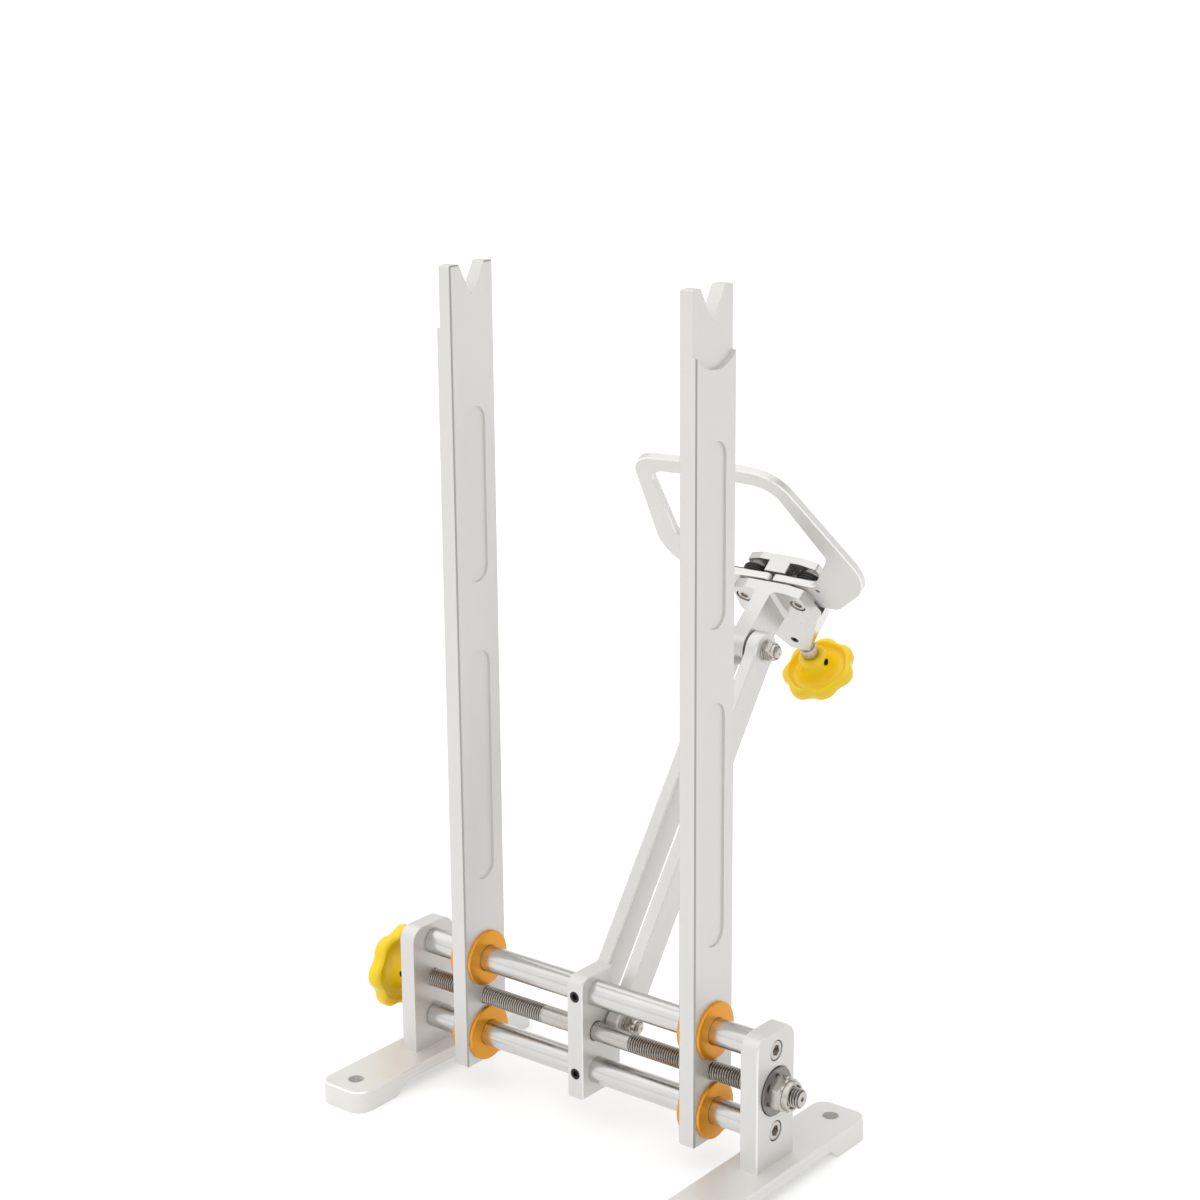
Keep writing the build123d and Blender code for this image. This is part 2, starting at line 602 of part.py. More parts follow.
# ---------------------------------------------------------------- arm and its pivots
for side, name in ((-1, "left"), (1, "right")):
    with BuildPart() as arm_bar:
        inner_face = Plane(origin=lower_pivot + Vector(side * arm_inner, 0, 0),
                           x_dir=arm_direction, z_dir=(side, 0, 0))
        with BuildSketch(inner_face) as outline:
            with Locations((ARM_LENGTH / 2, 0)):
                Rectangle(ARM_LENGTH, ARM_BAR_WAIST)
            with Locations((0, 0), (ARM_LENGTH, 0)):
                Circle(ARM_EYE_RADIUS)
            fillet(outline.vertices().filter_by(
                lambda v: v.distance_to(lower_pivot) > 0), radius=18)
            with Locations((0, 0), (ARM_LENGTH, 0)):
                Circle(PIVOT_BOLT_DIAMETER / 2, mode=Mode.SUBTRACT)
        extrude(amount=ARM_BAR_THICKNESS)
        rims = arm_bar.faces().filter_by(Axis.X)
        chamfer(rims.edges().filter_by(lambda e: e.length > PIVOT_BOLT_DIAMETER * 3.3),
                length=EDGE_BREAK)
    save(arm_bar.part, f"arm_{name}_bar")

pivots = {"lower": lower_pivot, "upper": upper_pivot}
lug_face = HEAD_LUG_THICKNESS / 2
save(Compound(children=[
    washer(pivot_plane(side, lug_face + FACE_GAP, centre), PIVOT_WASHER_DIAMETER / 2 + 1,
           PIVOT_BOLT_DIAMETER / 2, arm_inner - lug_face - FACE_GAP)
    for side in (-1, 1) for centre in pivots.values()]), "pivot_friction_washers")
save(Compound(children=[
    washer(pivot_plane(side, arm_outer, centre), PIVOT_WASHER_DIAMETER / 2,
           PIVOT_BOLT_DIAMETER / 2, PIVOT_WASHER_THICKNESS)
    for side in (-1, 1) for centre in pivots.values()]), "pivot_washers")
nut_seat = arm_outer + PIVOT_WASHER_THICKNESS
save(Compound(children=[
    lock_nut(pivot_plane(1, nut_seat, centre), PIVOT_NUT_WIDTH, PIVOT_NUT_HEIGHT,
             PIVOT_BOLT_DIAMETER / 2)
    for centre in pivots.values()]), "pivot_lock_nuts")
for name, centre in pivots.items():
    with BuildPart() as bolt:
        with BuildSketch(pivot_plane(-1, nut_seat, centre)):
            Circle(PIVOT_HEAD_DIAMETER / 2)
        extrude(amount=PIVOT_BOLT_DIAMETER)
        chamfer(bolt.edges().filter_by(GeomType.CIRCLE).sort_by(Axis.X)[0], length=0.6)
        with BuildSketch(pivot_plane(-1, nut_seat + PIVOT_BOLT_DIAMETER, centre)):
            RegularPolygon(radius=2.5, side_count=6, major_radius=False)
        extrude(amount=-PIVOT_BOLT_DIAMETER / 2, mode=Mode.SUBTRACT)
        with BuildSketch(pivot_plane(-1, nut_seat, centre)):
            Circle(PIVOT_BOLT_DIAMETER / 2)
        extrude(amount=-2 * nut_seat - PIVOT_NUT_HEIGHT - 1.5)
        chamfer(bolt.edges().filter_by(GeomType.CIRCLE).sort_by(Axis.X)[-1], length=0.5)
    save(bolt.part, f"{name}_pivot_bolt")

# ---------------------------------------------------------------- caliper head
claw_spots = {-1: "left", 1: "right"}
screw_lean = radians(CALIPER_SCREW_LEAN)
screw_up = head_up * cos(screw_lean) + head_normal * sin(screw_lean)
TAIL_UNDERSIDE = 3.2     # height of the claw tails' lower edge
NOSE_GAP = 0.3
nose = (upper_pivot + head_normal * (claw_front + claw_rear) / 2
        + head_up * (TAIL_UNDERSIDE - NOSE_GAP))
bore_top = THRUST_PIN_LENGTH - CALIPER_TRAVEL - 1
screw_top = THRUST_PIN_LENGTH + FACE_GAP
shaft_exit = (TAIL_UNDERSIDE - NOSE_GAP - HEAD_BOTTOM) / cos(screw_lean)


def screw_plane(distance):
    """Plane square to the caliper screw, at a distance below its nose, facing down the screw."""
    return Plane(origin=nose - screw_up * distance, x_dir=(1, 0, 0), z_dir=-screw_up)


def rounded_face(corners):
    """Closed outline through corners given as x, y and the radius that each is rounded to."""
    with BuildSketch() as outline:
        with BuildLine():
            Polyline(*[(x, y) for x, y, _ in corners], close=True)
        make_face()
        for x, y, radius in corners:
            if radius:
                nearest = outline.vertices().sort_by_distance((x, y, 0))[0]
                fillet(nearest, radius=radius)
    return outline.sketch


def head_outline():
    """Outline shared by the front and rear plates: flat top, wide shoulders, narrow foot."""
    top_x, shoulder_x, shoulder_y = HEAD_SHOULDER
    wide_x, wide_y = HEAD_WIDEST
    half = [(top_x, HEAD_TOP, 4), (shoulder_x, shoulder_y, 2), (wide_x, wide_y, 4),
            (HEAD_BOTTOM_HALF_WIDTH, HEAD_BOTTOM, 1.5)]
    return rounded_face(half + [(-x, y, r) for x, y, r in reversed(half)])


head_profile = head_outline()
with BuildPart() as caliper_body:
    with BuildSketch(head_plane(FRONT_PLATE_DEPTH)):
        add(head_profile)
    extrude(amount=-FRONT_PLATE_THICKNESS)
    with BuildSketch(head_plane(slot_front)):
        add(head_profile)
        with Locations((0, (SLOT_FLOOR + HEAD_TOP) / 2)):
            Rectangle(4 * CLAW_PIVOT_X, HEAD_TOP - SLOT_FLOOR, mode=Mode.SUBTRACT)
    extrude(amount=-SLOT_WIDTH)
    with BuildSketch(Plane(origin=upper_pivot - Vector(lug_face, 0, 0), x_dir=head_normal,
                           z_dir=(1, 0, 0))):
        with BuildLine():
            Line((0, HEAD_LUG_RADIUS), (FRONT_PLATE_DEPTH, HEAD_TOP))
            Line((FRONT_PLATE_DEPTH, HEAD_TOP), (FRONT_PLATE_DEPTH, -HEAD_LUG_DROP))
            Line((FRONT_PLATE_DEPTH, -HEAD_LUG_DROP), (0, -HEAD_LUG_RADIUS))
            ThreePointArc((0, -HEAD_LUG_RADIUS), (-HEAD_LUG_RADIUS, 0), (0, HEAD_LUG_RADIUS))
        make_face()
    extrude(amount=HEAD_LUG_THICKNESS)
    front_corner = upper_pivot + head_normal * FRONT_PLATE_DEPTH
    lug_roots = caliper_body.edges().filter_by(
        lambda e: abs((e.center() - front_corner).dot(head_normal)) < 0.1
        and abs(abs(e.center().X) - lug_face) < 0.1)
    fillet(lug_roots, radius=3)
    with BuildSketch(pivot_plane(-1, lug_face, upper_pivot)):
        Circle(PIVOT_BOLT_DIAMETER / 2 + RUNNING)
    extrude(amount=-HEAD_LUG_THICKNESS, mode=Mode.SUBTRACT)
    for side in claw_spots:
        with BuildSketch(head_plane(FRONT_PLATE_DEPTH, x=side * CLAW_PIVOT_X)):
            Circle(CLAW_SCREW_HEAD / 2 + HEAD_FIT)
        extrude(amount=-CLAW_SCREW_SEAT, mode=Mode.SUBTRACT)
        with BuildSketch(head_plane(FRONT_PLATE_DEPTH, x=side * CLAW_PIVOT_X)):
            Circle(CLAW_PIN_DIAMETER / 2)
        extrude(amount=-FRONT_PLATE_THICKNESS, mode=Mode.SUBTRACT)
        with BuildSketch(head_plane(slot_rear, x=side * REAR_SCREW_X, height=REAR_SCREW_HEIGHT)):
            Circle(REAR_SCREW_DIAMETER / 2)
        extrude(amount=REAR_SCREW_LENGTH, mode=Mode.SUBTRACT)
    with BuildSketch(screw_plane(bore_top)):
        Circle(CALIPER_SCREW_DIAMETER / 2 + RUNNING)
    extrude(amount=shaft_exit, mode=Mode.SUBTRACT)
    with BuildSketch(screw_plane(0)):
        Circle(THRUST_PIN_DIAMETER / 2 + NOSE_GAP)
    extrude(amount=bore_top, mode=Mode.SUBTRACT)
    with BuildSketch(head_plane(FRONT_PLATE_DEPTH, height=LOCK_GRUB_HEIGHT)):
        Circle(LOCK_GRUB_DIAMETER / 2)
    extrude(amount=-FRONT_PLATE_THICKNESS, mode=Mode.SUBTRACT)
save(caliper_body.part, "caliper_body")

with BuildPart() as caliper_rear_plate:
    with BuildSketch(head_plane(slot_rear)):
        add(head_profile)
        for side in claw_spots:
            with Locations((side * CLAW_PIVOT_X, 0)):
                Circle(CLAW_THREAD_DIAMETER / 2, mode=Mode.SUBTRACT)
            with Locations((side * REAR_SCREW_X, REAR_SCREW_HEIGHT)):
                Circle(REAR_SCREW_DIAMETER / 2 + PASSING, mode=Mode.SUBTRACT)
    extrude(amount=-REAR_PLATE_THICKNESS)
save(caliper_rear_plate.part, "caliper_rear_plate")

with BuildPart() as rear_plate_screws:
    for side in claw_spots:
        spot = (side * REAR_SCREW_X, REAR_SCREW_HEIGHT)
        with BuildSketch(head_plane(slot_rear + REAR_PLATE_THICKNESS, *spot)):
            Circle(REAR_SCREW_HEAD / 2)
        extrude(amount=-REAR_SCREW_HEAD_HEIGHT)
        with BuildSketch(head_plane(slot_rear + REAR_PLATE_THICKNESS, *spot)):
            Circle(REAR_SCREW_DIAMETER / 2)
        extrude(amount=REAR_PLATE_THICKNESS + REAR_SCREW_LENGTH - 1)
        with BuildSketch(head_plane(slot_rear + REAR_PLATE_THICKNESS + REAR_SCREW_HEAD_HEIGHT, *spot)):
            RegularPolygon(radius=REAR_SCREW_DIAMETER * 0.3, side_count=6, major_radius=False)
        extrude(amount=REAR_SCREW_HEAD_HEIGHT * 0.7, mode=Mode.SUBTRACT)
save(rear_plate_screws.part, "rear_plate_screws")

block_front = claw_rear + STOP_BLOCK_GAP
with BuildPart() as spring_stop_block:
    with BuildSketch(head_plane(block_front)) as block_face:
        with Locations((0, (SLOT_FLOOR + HEAD_TOP) / 2)):
            Rectangle(STOP_BLOCK_WIDTH, HEAD_TOP - SLOT_FLOOR)
        fillet(block_face.vertices().group_by(Axis.Y)[-1], radius=1)
    extrude(amount=-(slot_rear - block_front))
save(spring_stop_block.part, "spring_stop_block")

screw_seat = FRONT_PLATE_DEPTH + CLAW_SCREW_SEAT
with BuildPart() as claw_pivot_screws:
    for side in claw_spots:
        pivot_x = side * CLAW_PIVOT_X
        with BuildSketch(head_plane(screw_seat, x=pivot_x)):
            Circle(CLAW_SCREW_HEAD / 2)
        extrude(amount=CLAW_SCREW_HEAD_HEIGHT)
        with BuildSketch(head_plane(screw_seat, x=pivot_x)):
            Circle(CLAW_PIN_DIAMETER / 2)
        extrude(amount=-(slot_rear - screw_seat))
        with BuildSketch(head_plane(slot_rear, x=pivot_x)):
            Circle(CLAW_THREAD_DIAMETER / 2)
        extrude(amount=-REAR_PLATE_THICKNESS)
        with BuildSketch(head_plane(screw_seat - CLAW_SCREW_HEAD_HEIGHT, x=pivot_x)):
            RegularPolygon(radius=CLAW_SCREW_HEAD * 0.25, side_count=6, major_radius=False)
        extrude(amount=-CLAW_SCREW_HEAD_HEIGHT * 0.7, mode=Mode.SUBTRACT)
save(claw_pivot_screws.part, "claw_pivot_screws")

save(Compound(children=[
    washer(head_plane(claw_front - FACE_GAP, x=side * CLAW_PIVOT_X), CLAW_WASHER_DIAMETER / 2,
           CLAW_PIN_DIAMETER / 2, CLAW_WASHER_THICKNESS)
    for side in claw_spots]), "claw_thrust_washers")
save(Compound(children=[
    washer(head_plane(slot_rear, x=side * CLAW_PIVOT_X), SLEEVE_DIAMETER / 2,
           CLAW_PIN_DIAMETER / 2, slot_rear - claw_rear - FACE_GAP)
    for side in claw_spots]), "claw_spacer_sleeves")

with BuildPart() as caliper_body_grub_screw:
    with BuildSketch(head_plane(FRONT_PLATE_DEPTH + FACE_GAP, height=LOCK_GRUB_HEIGHT)):
        Circle(LOCK_GRUB_DIAMETER / 2)
    extrude(amount=-LOCK_GRUB_LENGTH)
    with BuildSketch(head_plane(FRONT_PLATE_DEPTH + FACE_GAP, height=LOCK_GRUB_HEIGHT)):
        RegularPolygon(radius=LOCK_GRUB_DIAMETER * 0.25, side_count=6, major_radius=False)
    extrude(amount=-LOCK_GRUB_LENGTH / 2, mode=Mode.SUBTRACT)
save(caliper_body_grub_screw.part, "caliper_body_grub_screw")

# ---------------------------------------------------------------- claws and their springs
# Right claw, anticlockwise from the top of its tip: x, height and the radius of each corner
CLAW_CORNERS = [
    (CLAW_TIP_HALF_GAP, 111.5, 3), (CLAW_TIP_HALF_GAP, 99.5, 3), (38.7, 98, 13), (49, 39.3, 7),
    (29, 10, 8), (0.8, 10.8, 2.5), (0.8, TAIL_UNDERSIDE, 1.2), (5.5, TAIL_UNDERSIDE, 1.5),
    (12, -CLAW_HUB_RADIUS, 9.3),
    (37, -CLAW_HUB_RADIUS, 8), (68.5, 19.5, 30), (46, 109, 20)]
right_claw_face = rounded_face(CLAW_CORNERS)
left_claw_face = rounded_face([(-x, y, radius) for x, y, radius in CLAW_CORNERS])
claw_faces = {-1: left_claw_face, 1: right_claw_face}
for side, name in claw_spots.items():
    with BuildPart() as claw:
        with BuildSketch(head_plane(claw_front)):
            add(claw_faces[side])
        extrude(amount=-CLAW_THICKNESS)
        flats = claw.faces().filter_by(lambda f: abs(f.normal_at().dot(head_normal)) > 0.99)
        chamfer(flats.edges(), length=CLAW_EDGE)
        with BuildSketch(head_plane(claw_front)):
            with Locations((side * CLAW_PIVOT_X, 0)):
                Circle(CLAW_PIN_DIAMETER / 2 + RUNNING)
            with Locations((side * SPRING_HOLE[0], SPRING_HOLE[1])):
                Circle(SPRING_HOLE_DIAMETER / 2)
        extrude(amount=-CLAW_THICKNESS, mode=Mode.SUBTRACT)
    save(claw.part, f"{name}_claw")

first_coil = claw_rear + SPRING_WIRE / 2 + 4 * FACE_GAP
last_coil = first_coil + (SPRING_COILS - 1) * SPRING_PITCH
hook = Vector(SPRING_HOLE[0] - CLAW_PIVOT_X, SPRING_HOLE[1])
rest = Vector(STOP_BLOCK_WIDTH / 2 + SPRING_WIRE / 2 + FACE_GAP - CLAW_PIVOT_X, SPRING_REST_HEIGHT)


def tangent_point(target, turn):
    """Where a straight leg that ends at the target leaves the coil, on the turn's side."""
    spread = degrees(acos(SPRING_MEAN_RADIUS / target.length))
    return (target.normalized() * SPRING_MEAN_RADIUS).rotate(Axis.Z, turn * spread)


def spring_point(side, flat, depth):
    """A point of a spring, from a flat position about its coils' axis and a depth behind it."""
    return Vector(side * flat.X, flat.Y, -depth)


# Each spring is made about the origin, with its coils round Z, and then set on its claw's pivot
for side, name in claw_spots.items():
    with BuildPart() as spring:
        with BuildSketch(Plane.XZ):
            for coil in range(SPRING_COILS):
                with Locations((SPRING_MEAN_RADIUS, -first_coil - coil * SPRING_PITCH)):
                    Circle(SPRING_WIRE / 2)
        revolve(axis=Axis.Z)
        corner = spring_point(side, hook, first_coil)
        legs = [(spring_point(side, tangent_point(hook, 1), first_coil), corner),
                (corner - Vector(0, 0, SPRING_WIRE / 2), corner + Vector(0, 0, CLAW_THICKNESS)),
                (spring_point(side, tangent_point(rest, -1), last_coil),
                 spring_point(side, rest, last_coil))]
        for start, end in legs:
            with BuildSketch(Plane(origin=start, z_dir=end - start)):
                Circle(SPRING_WIRE / 2)
            extrude(amount=(end - start).length)
    save(spring.part.moved(head_plane(0, x=side * CLAW_PIVOT_X).location), f"{name}_claw_spring")

# ---------------------------------------------------------------- thrust pin, caliper screw, knob
with BuildPart() as thrust_pin:
    with BuildSketch(screw_plane(0)):
        Circle(THRUST_PIN_DIAMETER / 2)
    extrude(amount=THRUST_PIN_LENGTH)
    fillet(thrust_pin.edges().sort_by(lambda e: e.center().dot(screw_up))[-1], radius=0.8)
    with BuildSketch(screw_plane(THRUST_PIN_LENGTH)):
        Circle(THRUST_SHANK_DIAMETER / 2)
    extrude(amount=THRUST_SHANK_LENGTH)
save(thrust_pin.part, "thrust_pin")

caliper_screw_end = CALIPER_KNOB_RIM + KNOB_THICKNESS - 2
caliper_hub_top = CALIPER_KNOB_RIM - KNOB_HUB_PROUD
with BuildPart() as caliper_screw:
    with BuildSketch(screw_plane(screw_top)):
        Circle(CALIPER_SCREW_DIAMETER / 2)
    extrude(amount=caliper_screw_end - screw_top)
    with BuildSketch(screw_plane(CALIPER_COLLAR_START)):
        Circle(CALIPER_COLLAR_DIAMETER / 2)
    extrude(amount=caliper_hub_top - CALIPER_COLLAR_START)
    with BuildSketch(screw_plane(screw_top)):
        Circle(THRUST_SHANK_DIAMETER / 2 + RUNNING)
    extrude(amount=THRUST_SHANK_LENGTH + FACE_GAP, mode=Mode.SUBTRACT)
save(caliper_screw.part, "caliper_screw")

caliper_knob_rim = screw_plane(CALIPER_KNOB_RIM)
save(star_knob(caliper_knob_rim, CALIPER_KNOB_RADIUS, CALIPER_SCREW_DIAMETER / 2,
               caliper_screw_end - caliper_hub_top), "caliper_knob")
save(knob_grub_screw(caliper_knob_rim, CALIPER_SCREW_DIAMETER / 2), "caliper_knob_grub_screw")
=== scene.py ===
import math

import bmesh
import bpy
from mathutils import Matrix, Vector


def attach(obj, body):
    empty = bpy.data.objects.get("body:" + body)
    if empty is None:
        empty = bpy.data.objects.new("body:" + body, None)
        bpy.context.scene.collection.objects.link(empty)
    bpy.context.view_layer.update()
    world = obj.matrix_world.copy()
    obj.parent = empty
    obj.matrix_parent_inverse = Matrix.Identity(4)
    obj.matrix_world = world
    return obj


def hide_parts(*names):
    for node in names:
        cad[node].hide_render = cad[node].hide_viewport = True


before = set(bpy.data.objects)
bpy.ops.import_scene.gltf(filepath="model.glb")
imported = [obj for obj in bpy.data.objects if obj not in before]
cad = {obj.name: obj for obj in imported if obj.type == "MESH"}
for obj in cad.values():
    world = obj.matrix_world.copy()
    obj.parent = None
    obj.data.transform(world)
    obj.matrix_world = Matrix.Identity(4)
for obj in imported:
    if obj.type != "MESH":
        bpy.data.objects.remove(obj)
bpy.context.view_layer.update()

# ---- Camera -------------------------------------------------------------------------------------
# The viewpoint that was fitted to the photograph: the stand seen from its front right, from a little
# above, with a lens of moderate length.
camera_spot = Vector((0.7302, -0.9109, 0.5985))
yaw, pitch, roll = math.radians(38.34), math.radians(15.2), math.radians(-0.441)
view_forward = Vector((-math.sin(yaw) * math.cos(pitch), math.cos(yaw) * math.cos(pitch), -math.sin(pitch)))
view_right = Vector((math.cos(yaw), math.sin(yaw), 0))
view_up = view_right.cross(view_forward)
rolled_right = math.cos(roll) * view_right + math.sin(roll) * view_up
rolled_up = math.cos(roll) * view_up - math.sin(roll) * view_right
camera_data = bpy.data.cameras.new("photo_camera")
camera_data.lens = 73.42
camera_data.sensor_width = 36
camera = bpy.data.objects.new("photo_camera", camera_data)
camera.matrix_world = Matrix.Translation(camera_spot) @ Matrix(
    (rolled_right, rolled_up, -view_forward)).transposed().to_4x4()
bpy.context.scene.collection.objects.link(camera)
bpy.context.scene.camera = camera
bpy.context.scene.view_settings.view_transform = "Standard"

# ---- Studio -------------------------------------------------------------------------------------
# A pale floor that runs out to the horizon, a soft pale surround that is darker on the right and
# halfway up, so that round metal shows bands, and one broad soft lamp from high up, left and in front.
# Floor and horizon look white to the camera and in reflections, without lighting the stand more.


def shader_tree(owner):
    owner.use_nodes = True
    owner.node_tree.nodes.clear()
    return owner.node_tree


def wire(tree, node, name, value):
    """Links or sets one input, named or numbered, of a node."""
    socket = node.inputs[int(name)] if name.isdigit() else next(
        s for s in node.inputs if s.name == name and s.enabled)
    if isinstance(value, bpy.types.NodeSocket):
        tree.links.new(value, socket)
    else:
        socket.default_value = value


def place(tree, kind, settings=None, **inputs):
    """Adds a node, sets its properties, and links or sets its inputs by name."""
    node = tree.nodes.new(kind)
    for name, value in (settings or {}).items():
        setattr(node, name, value)
    for name, value in inputs.items():
        wire(tree, node, name.replace("_", " "), value)
    return node


def sums(tree, operation, *values):
    """Chains one maths operation over values or sockets and returns its output."""
    result = values[0]
    for value in values[1:]:
        node = place(tree, "ShaderNodeMath", {"operation": operation})
        wire(tree, node, "0", result)
        wire(tree, node, "1", value)
        result = node.outputs[0]
    return result


def ramp(tree, fac, stops):
    """A colour ramp over grey stops, given as place and level."""
    node = place(tree, "ShaderNodeValToRGB", Fac=fac)
    elements = node.color_ramp.elements
    while len(elements) < len(stops):
        elements.new(0.5)
    for element, (spot, level) in zip(elements, stops):
        element.position = spot
        element.color = (level, level, level, 1)
    return node.outputs["Color"]


def background_rays(tree):
    """One for the rays that show a background: straight, reflected or passed through glass."""
    ray = place(tree, "ShaderNodeLightPath")
    return sums(tree, "MAXIMUM", *[ray.outputs[kind] for kind in (
        "Is Camera Ray", "Is Glossy Ray", "Is Transmission Ray")])


world = bpy.data.worlds.new("studio")
bpy.context.scene.world = world
sky = shader_tree(world)
sky_way = place(sky, "ShaderNodeSeparateXYZ")
sky.links.new(place(sky, "ShaderNodeTexCoord").outputs["Generated"], sky_way.inputs[0])
height_level = ramp(sky, sky_way.outputs["Z"], [
    (0.0, 1.0), (0.1, 0.9), (0.25, 0.82), (0.5, 0.5), (0.75, 0.8), (1.0, 0.88)])
sideways = sums(sky, "ADD", sums(sky, "MULTIPLY", sky_way.outputs["X"], 0.5), 0.5)
side_level = ramp(sky, sideways, [(0.0, 1.0), (0.55, 1.0), (1.0, 0.8)])
level = place(sky, "ShaderNodeVectorMath", {"operation": "MULTIPLY"})
wire(sky, level, "0", height_level)
wire(sky, level, "1", side_level)
near_horizon = ramp(sky, sky_way.outputs["Z"], [(0.0, 1.0), (0.18, 1.0), (0.34, 0.0)])
backdrop = place(sky, "ShaderNodeMix", {"data_type": "RGBA"}, B=(1.0, 1.0, 1.0, 1))
wire(sky, backdrop, "Factor", sums(sky, "MULTIPLY", background_rays(sky), near_horizon))
wire(sky, backdrop, "A", level.outputs[0])
surround = place(sky, "ShaderNodeBackground", Color=next(
    s for s in backdrop.outputs if s.enabled), Strength=1.0)
place(sky, "ShaderNodeOutputWorld", Surface=surround.outputs[0])

floor_reach, floor_grey, floor_glow = 60, 0.74, 0.38
floor_shape = bmesh.new()
bmesh.ops.create_grid(floor_shape, x_segments=2, y_segments=2, size=floor_reach)
floor_mesh = bpy.data.meshes.new("floor")
floor_shape.to_mesh(floor_mesh)
floor_shape.free()
floor = bpy.data.objects.new("floor", floor_mesh)
bpy.context.scene.collection.objects.link(floor)
floor_paper = bpy.data.materials.new("floor_paper")
paper = shader_tree(floor_paper)
paper_look = place(paper, "ShaderNodeBsdfPrincipled", Roughness=0.9,
                   Base_Color=(floor_grey, floor_grey, floor_grey, 1))
paper_look.inputs["Specular IOR Level"].default_value = 0.1
paper_white = place(paper, "ShaderNodeEmission", Strength=sums(
    paper, "MULTIPLY", background_rays(paper), floor_glow))
paper_sum = place(paper, "ShaderNodeAddShader")
paper.links.new(paper_look.outputs[0], paper_sum.inputs[0])
paper.links.new(paper_white.outputs[0], paper_sum.inputs[1])
place(paper, "ShaderNodeOutputMaterial", Surface=paper_sum.outputs[0])
floor_mesh.materials.append(floor_paper)

lamp_side = Vector((-0.17, -0.27, 0.95))
key_data = bpy.data.lights.new("key_light", "SUN")
key_data.energy = 1.2
key_data.angle = math.radians(110)
key = bpy.data.objects.new("key_light", key_data)
key.matrix_world = lamp_side.to_track_quat("Z", "Y").to_matrix().to_4x4()
bpy.context.scene.collection.objects.link(key)

# ---- Feet and end plates ------------------------------------------------------------------------
# Milled from flat aluminium bar, bead blasted to a fine satin grain and clear anodised. Each foot is
# relieved underneath, and its end plate stands on it, held by two screws from below.


def effect_group(name, inputs, outputs):
    """An empty shader group, with named inputs and their defaults, and outputs and their kinds."""
    tree = bpy.data.node_groups.new(name, "ShaderNodeTree")
    for label, default in inputs.items():
        kind = "NodeSocketColor" if isinstance(default, tuple) else "NodeSocketFloat"
        tree.interface.new_socket(label, in_out="INPUT", socket_type=kind).default_value = default
    for label, kind in outputs.items():
        tree.interface.new_socket(label, in_out="OUTPUT", socket_type=kind)
    return tree, tree.nodes.new("NodeGroupInput").outputs, tree.nodes.new("NodeGroupOutput")


surface_outputs = {"Colour": "NodeSocketColor", "Roughness": "NodeSocketFloat",
                   "Normal": "NodeSocketVector"}
blast, blast_in, blast_out = effect_group(
    "blasted_grain_and_painted_edges",
    {"Colour": (0.8, 0.8, 0.8, 1), "Grain Scale": 2200.0, "Grain Depth": 0.22, "Speckle": 0.07,
     "Cloud Scale": 26.0, "Cloud Amount": 0.04, "Roughness": 0.4, "Roughness Spread": 0.1,
     "Chamfer Way": (0.0, 0.0, 0.0, 1), "Chamfer Gain": 1.22},
    surface_outputs)
blast_where = place(blast, "ShaderNodeTexCoord").outputs["Object"]
grain = place(blast, "ShaderNodeTexNoise", Vector=blast_where, Scale=blast_in["Grain Scale"], Detail=2.0,
              Roughness=0.6).outputs["Fac"]
cloud = place(blast, "ShaderNodeTexNoise", Vector=blast_where, Scale=blast_in["Cloud Scale"], Detail=4.0,
              Roughness=0.6).outputs["Fac"]
grain_share = sums(blast, "MULTIPLY", sums(blast, "SUBTRACT", grain, 0.5), blast_in["Speckle"])
cloud_share = sums(blast, "MULTIPLY", sums(blast, "SUBTRACT", cloud, 0.5), blast_in["Cloud Amount"])
# A chamfer is known by its 45 degrees to the face that it is cut round, by the size of that cosine. It
# is smoother than the blasted faces, and its colour is scaled by the gain: a painted highlight where the
# gain lightens it, a painted shade line where it darkens it.
chamfer_least, chamfer_most, chamfer_polish = 0.62, 0.78, 0.16
facing = place(blast, "ShaderNodeVectorMath", {"operation": "DOT_PRODUCT"})
wire(blast, facing, "0", place(blast, "ShaderNodeNewGeometry").outputs["True Normal"])
wire(blast, facing, "1", blast_in["Chamfer Way"])
leaning = sums(blast, "PINGPONG", facing.outputs["Value"], 1.0)
chamfered = sums(blast, "MULTIPLY", sums(blast, "GREATER_THAN", leaning, chamfer_least),
                 sums(blast, "LESS_THAN", leaning, chamfer_most))
chamfer_painted_light = sums(blast, "MULTIPLY", chamfered, sums(blast, "SUBTRACT", blast_in["Chamfer Gain"], 1.0))
grain_and_edge_light_tint = place(blast, "ShaderNodeVectorMath", {"operation": "SCALE"},
                   Scale=sums(blast, "ADD", grain_share, cloud_share, chamfer_painted_light, 1.0))
wire(blast, grain_and_edge_light_tint, "0", blast_in["Colour"])
blast_rough = sums(blast, "MULTIPLY", sums(blast, "SUBTRACT", cloud, 0.5), blast_in["Roughness Spread"])
wire(blast, blast_out, "Colour", grain_and_edge_light_tint.outputs[0])
wire(blast, blast_out, "Roughness", sums(
    blast, "SUBTRACT", sums(blast, "ADD", blast_rough, blast_in["Roughness"]),
    sums(blast, "MULTIPLY", chamfered, chamfer_polish)))
wire(blast, blast_out, "Normal", place(blast, "ShaderNodeBump", Strength=blast_in["Grain Depth"],
                                       Distance=0.0002, Height=grain).outputs[0])


def finish_with(name, effect, metallic, coat=0.0, **values):
    """A material on the Principled shader, whose colour, roughness and normal come from an effect."""
    material = bpy.data.materials.new(name)
    tree = shader_tree(material)
    group = tree.nodes.new("ShaderNodeGroup")
    group.node_tree = effect
    for label, value in values.items():
        group.inputs[label.replace("_", " ")].default_value = value
    look = place(tree, "ShaderNodeBsdfPrincipled", Metallic=metallic)
    look.inputs["Coat Weight"].default_value = coat
    look.inputs["Coat Roughness"].default_value = 0.12
    wire(tree, look, "Base Color", group.outputs["Colour"])
    wire(tree, look, "Roughness", group.outputs["Roughness"])
    wire(tree, look, "Normal", group.outputs["Normal"])
    place(tree, "ShaderNodeOutputMaterial", Surface=look.outputs[0])
    return material


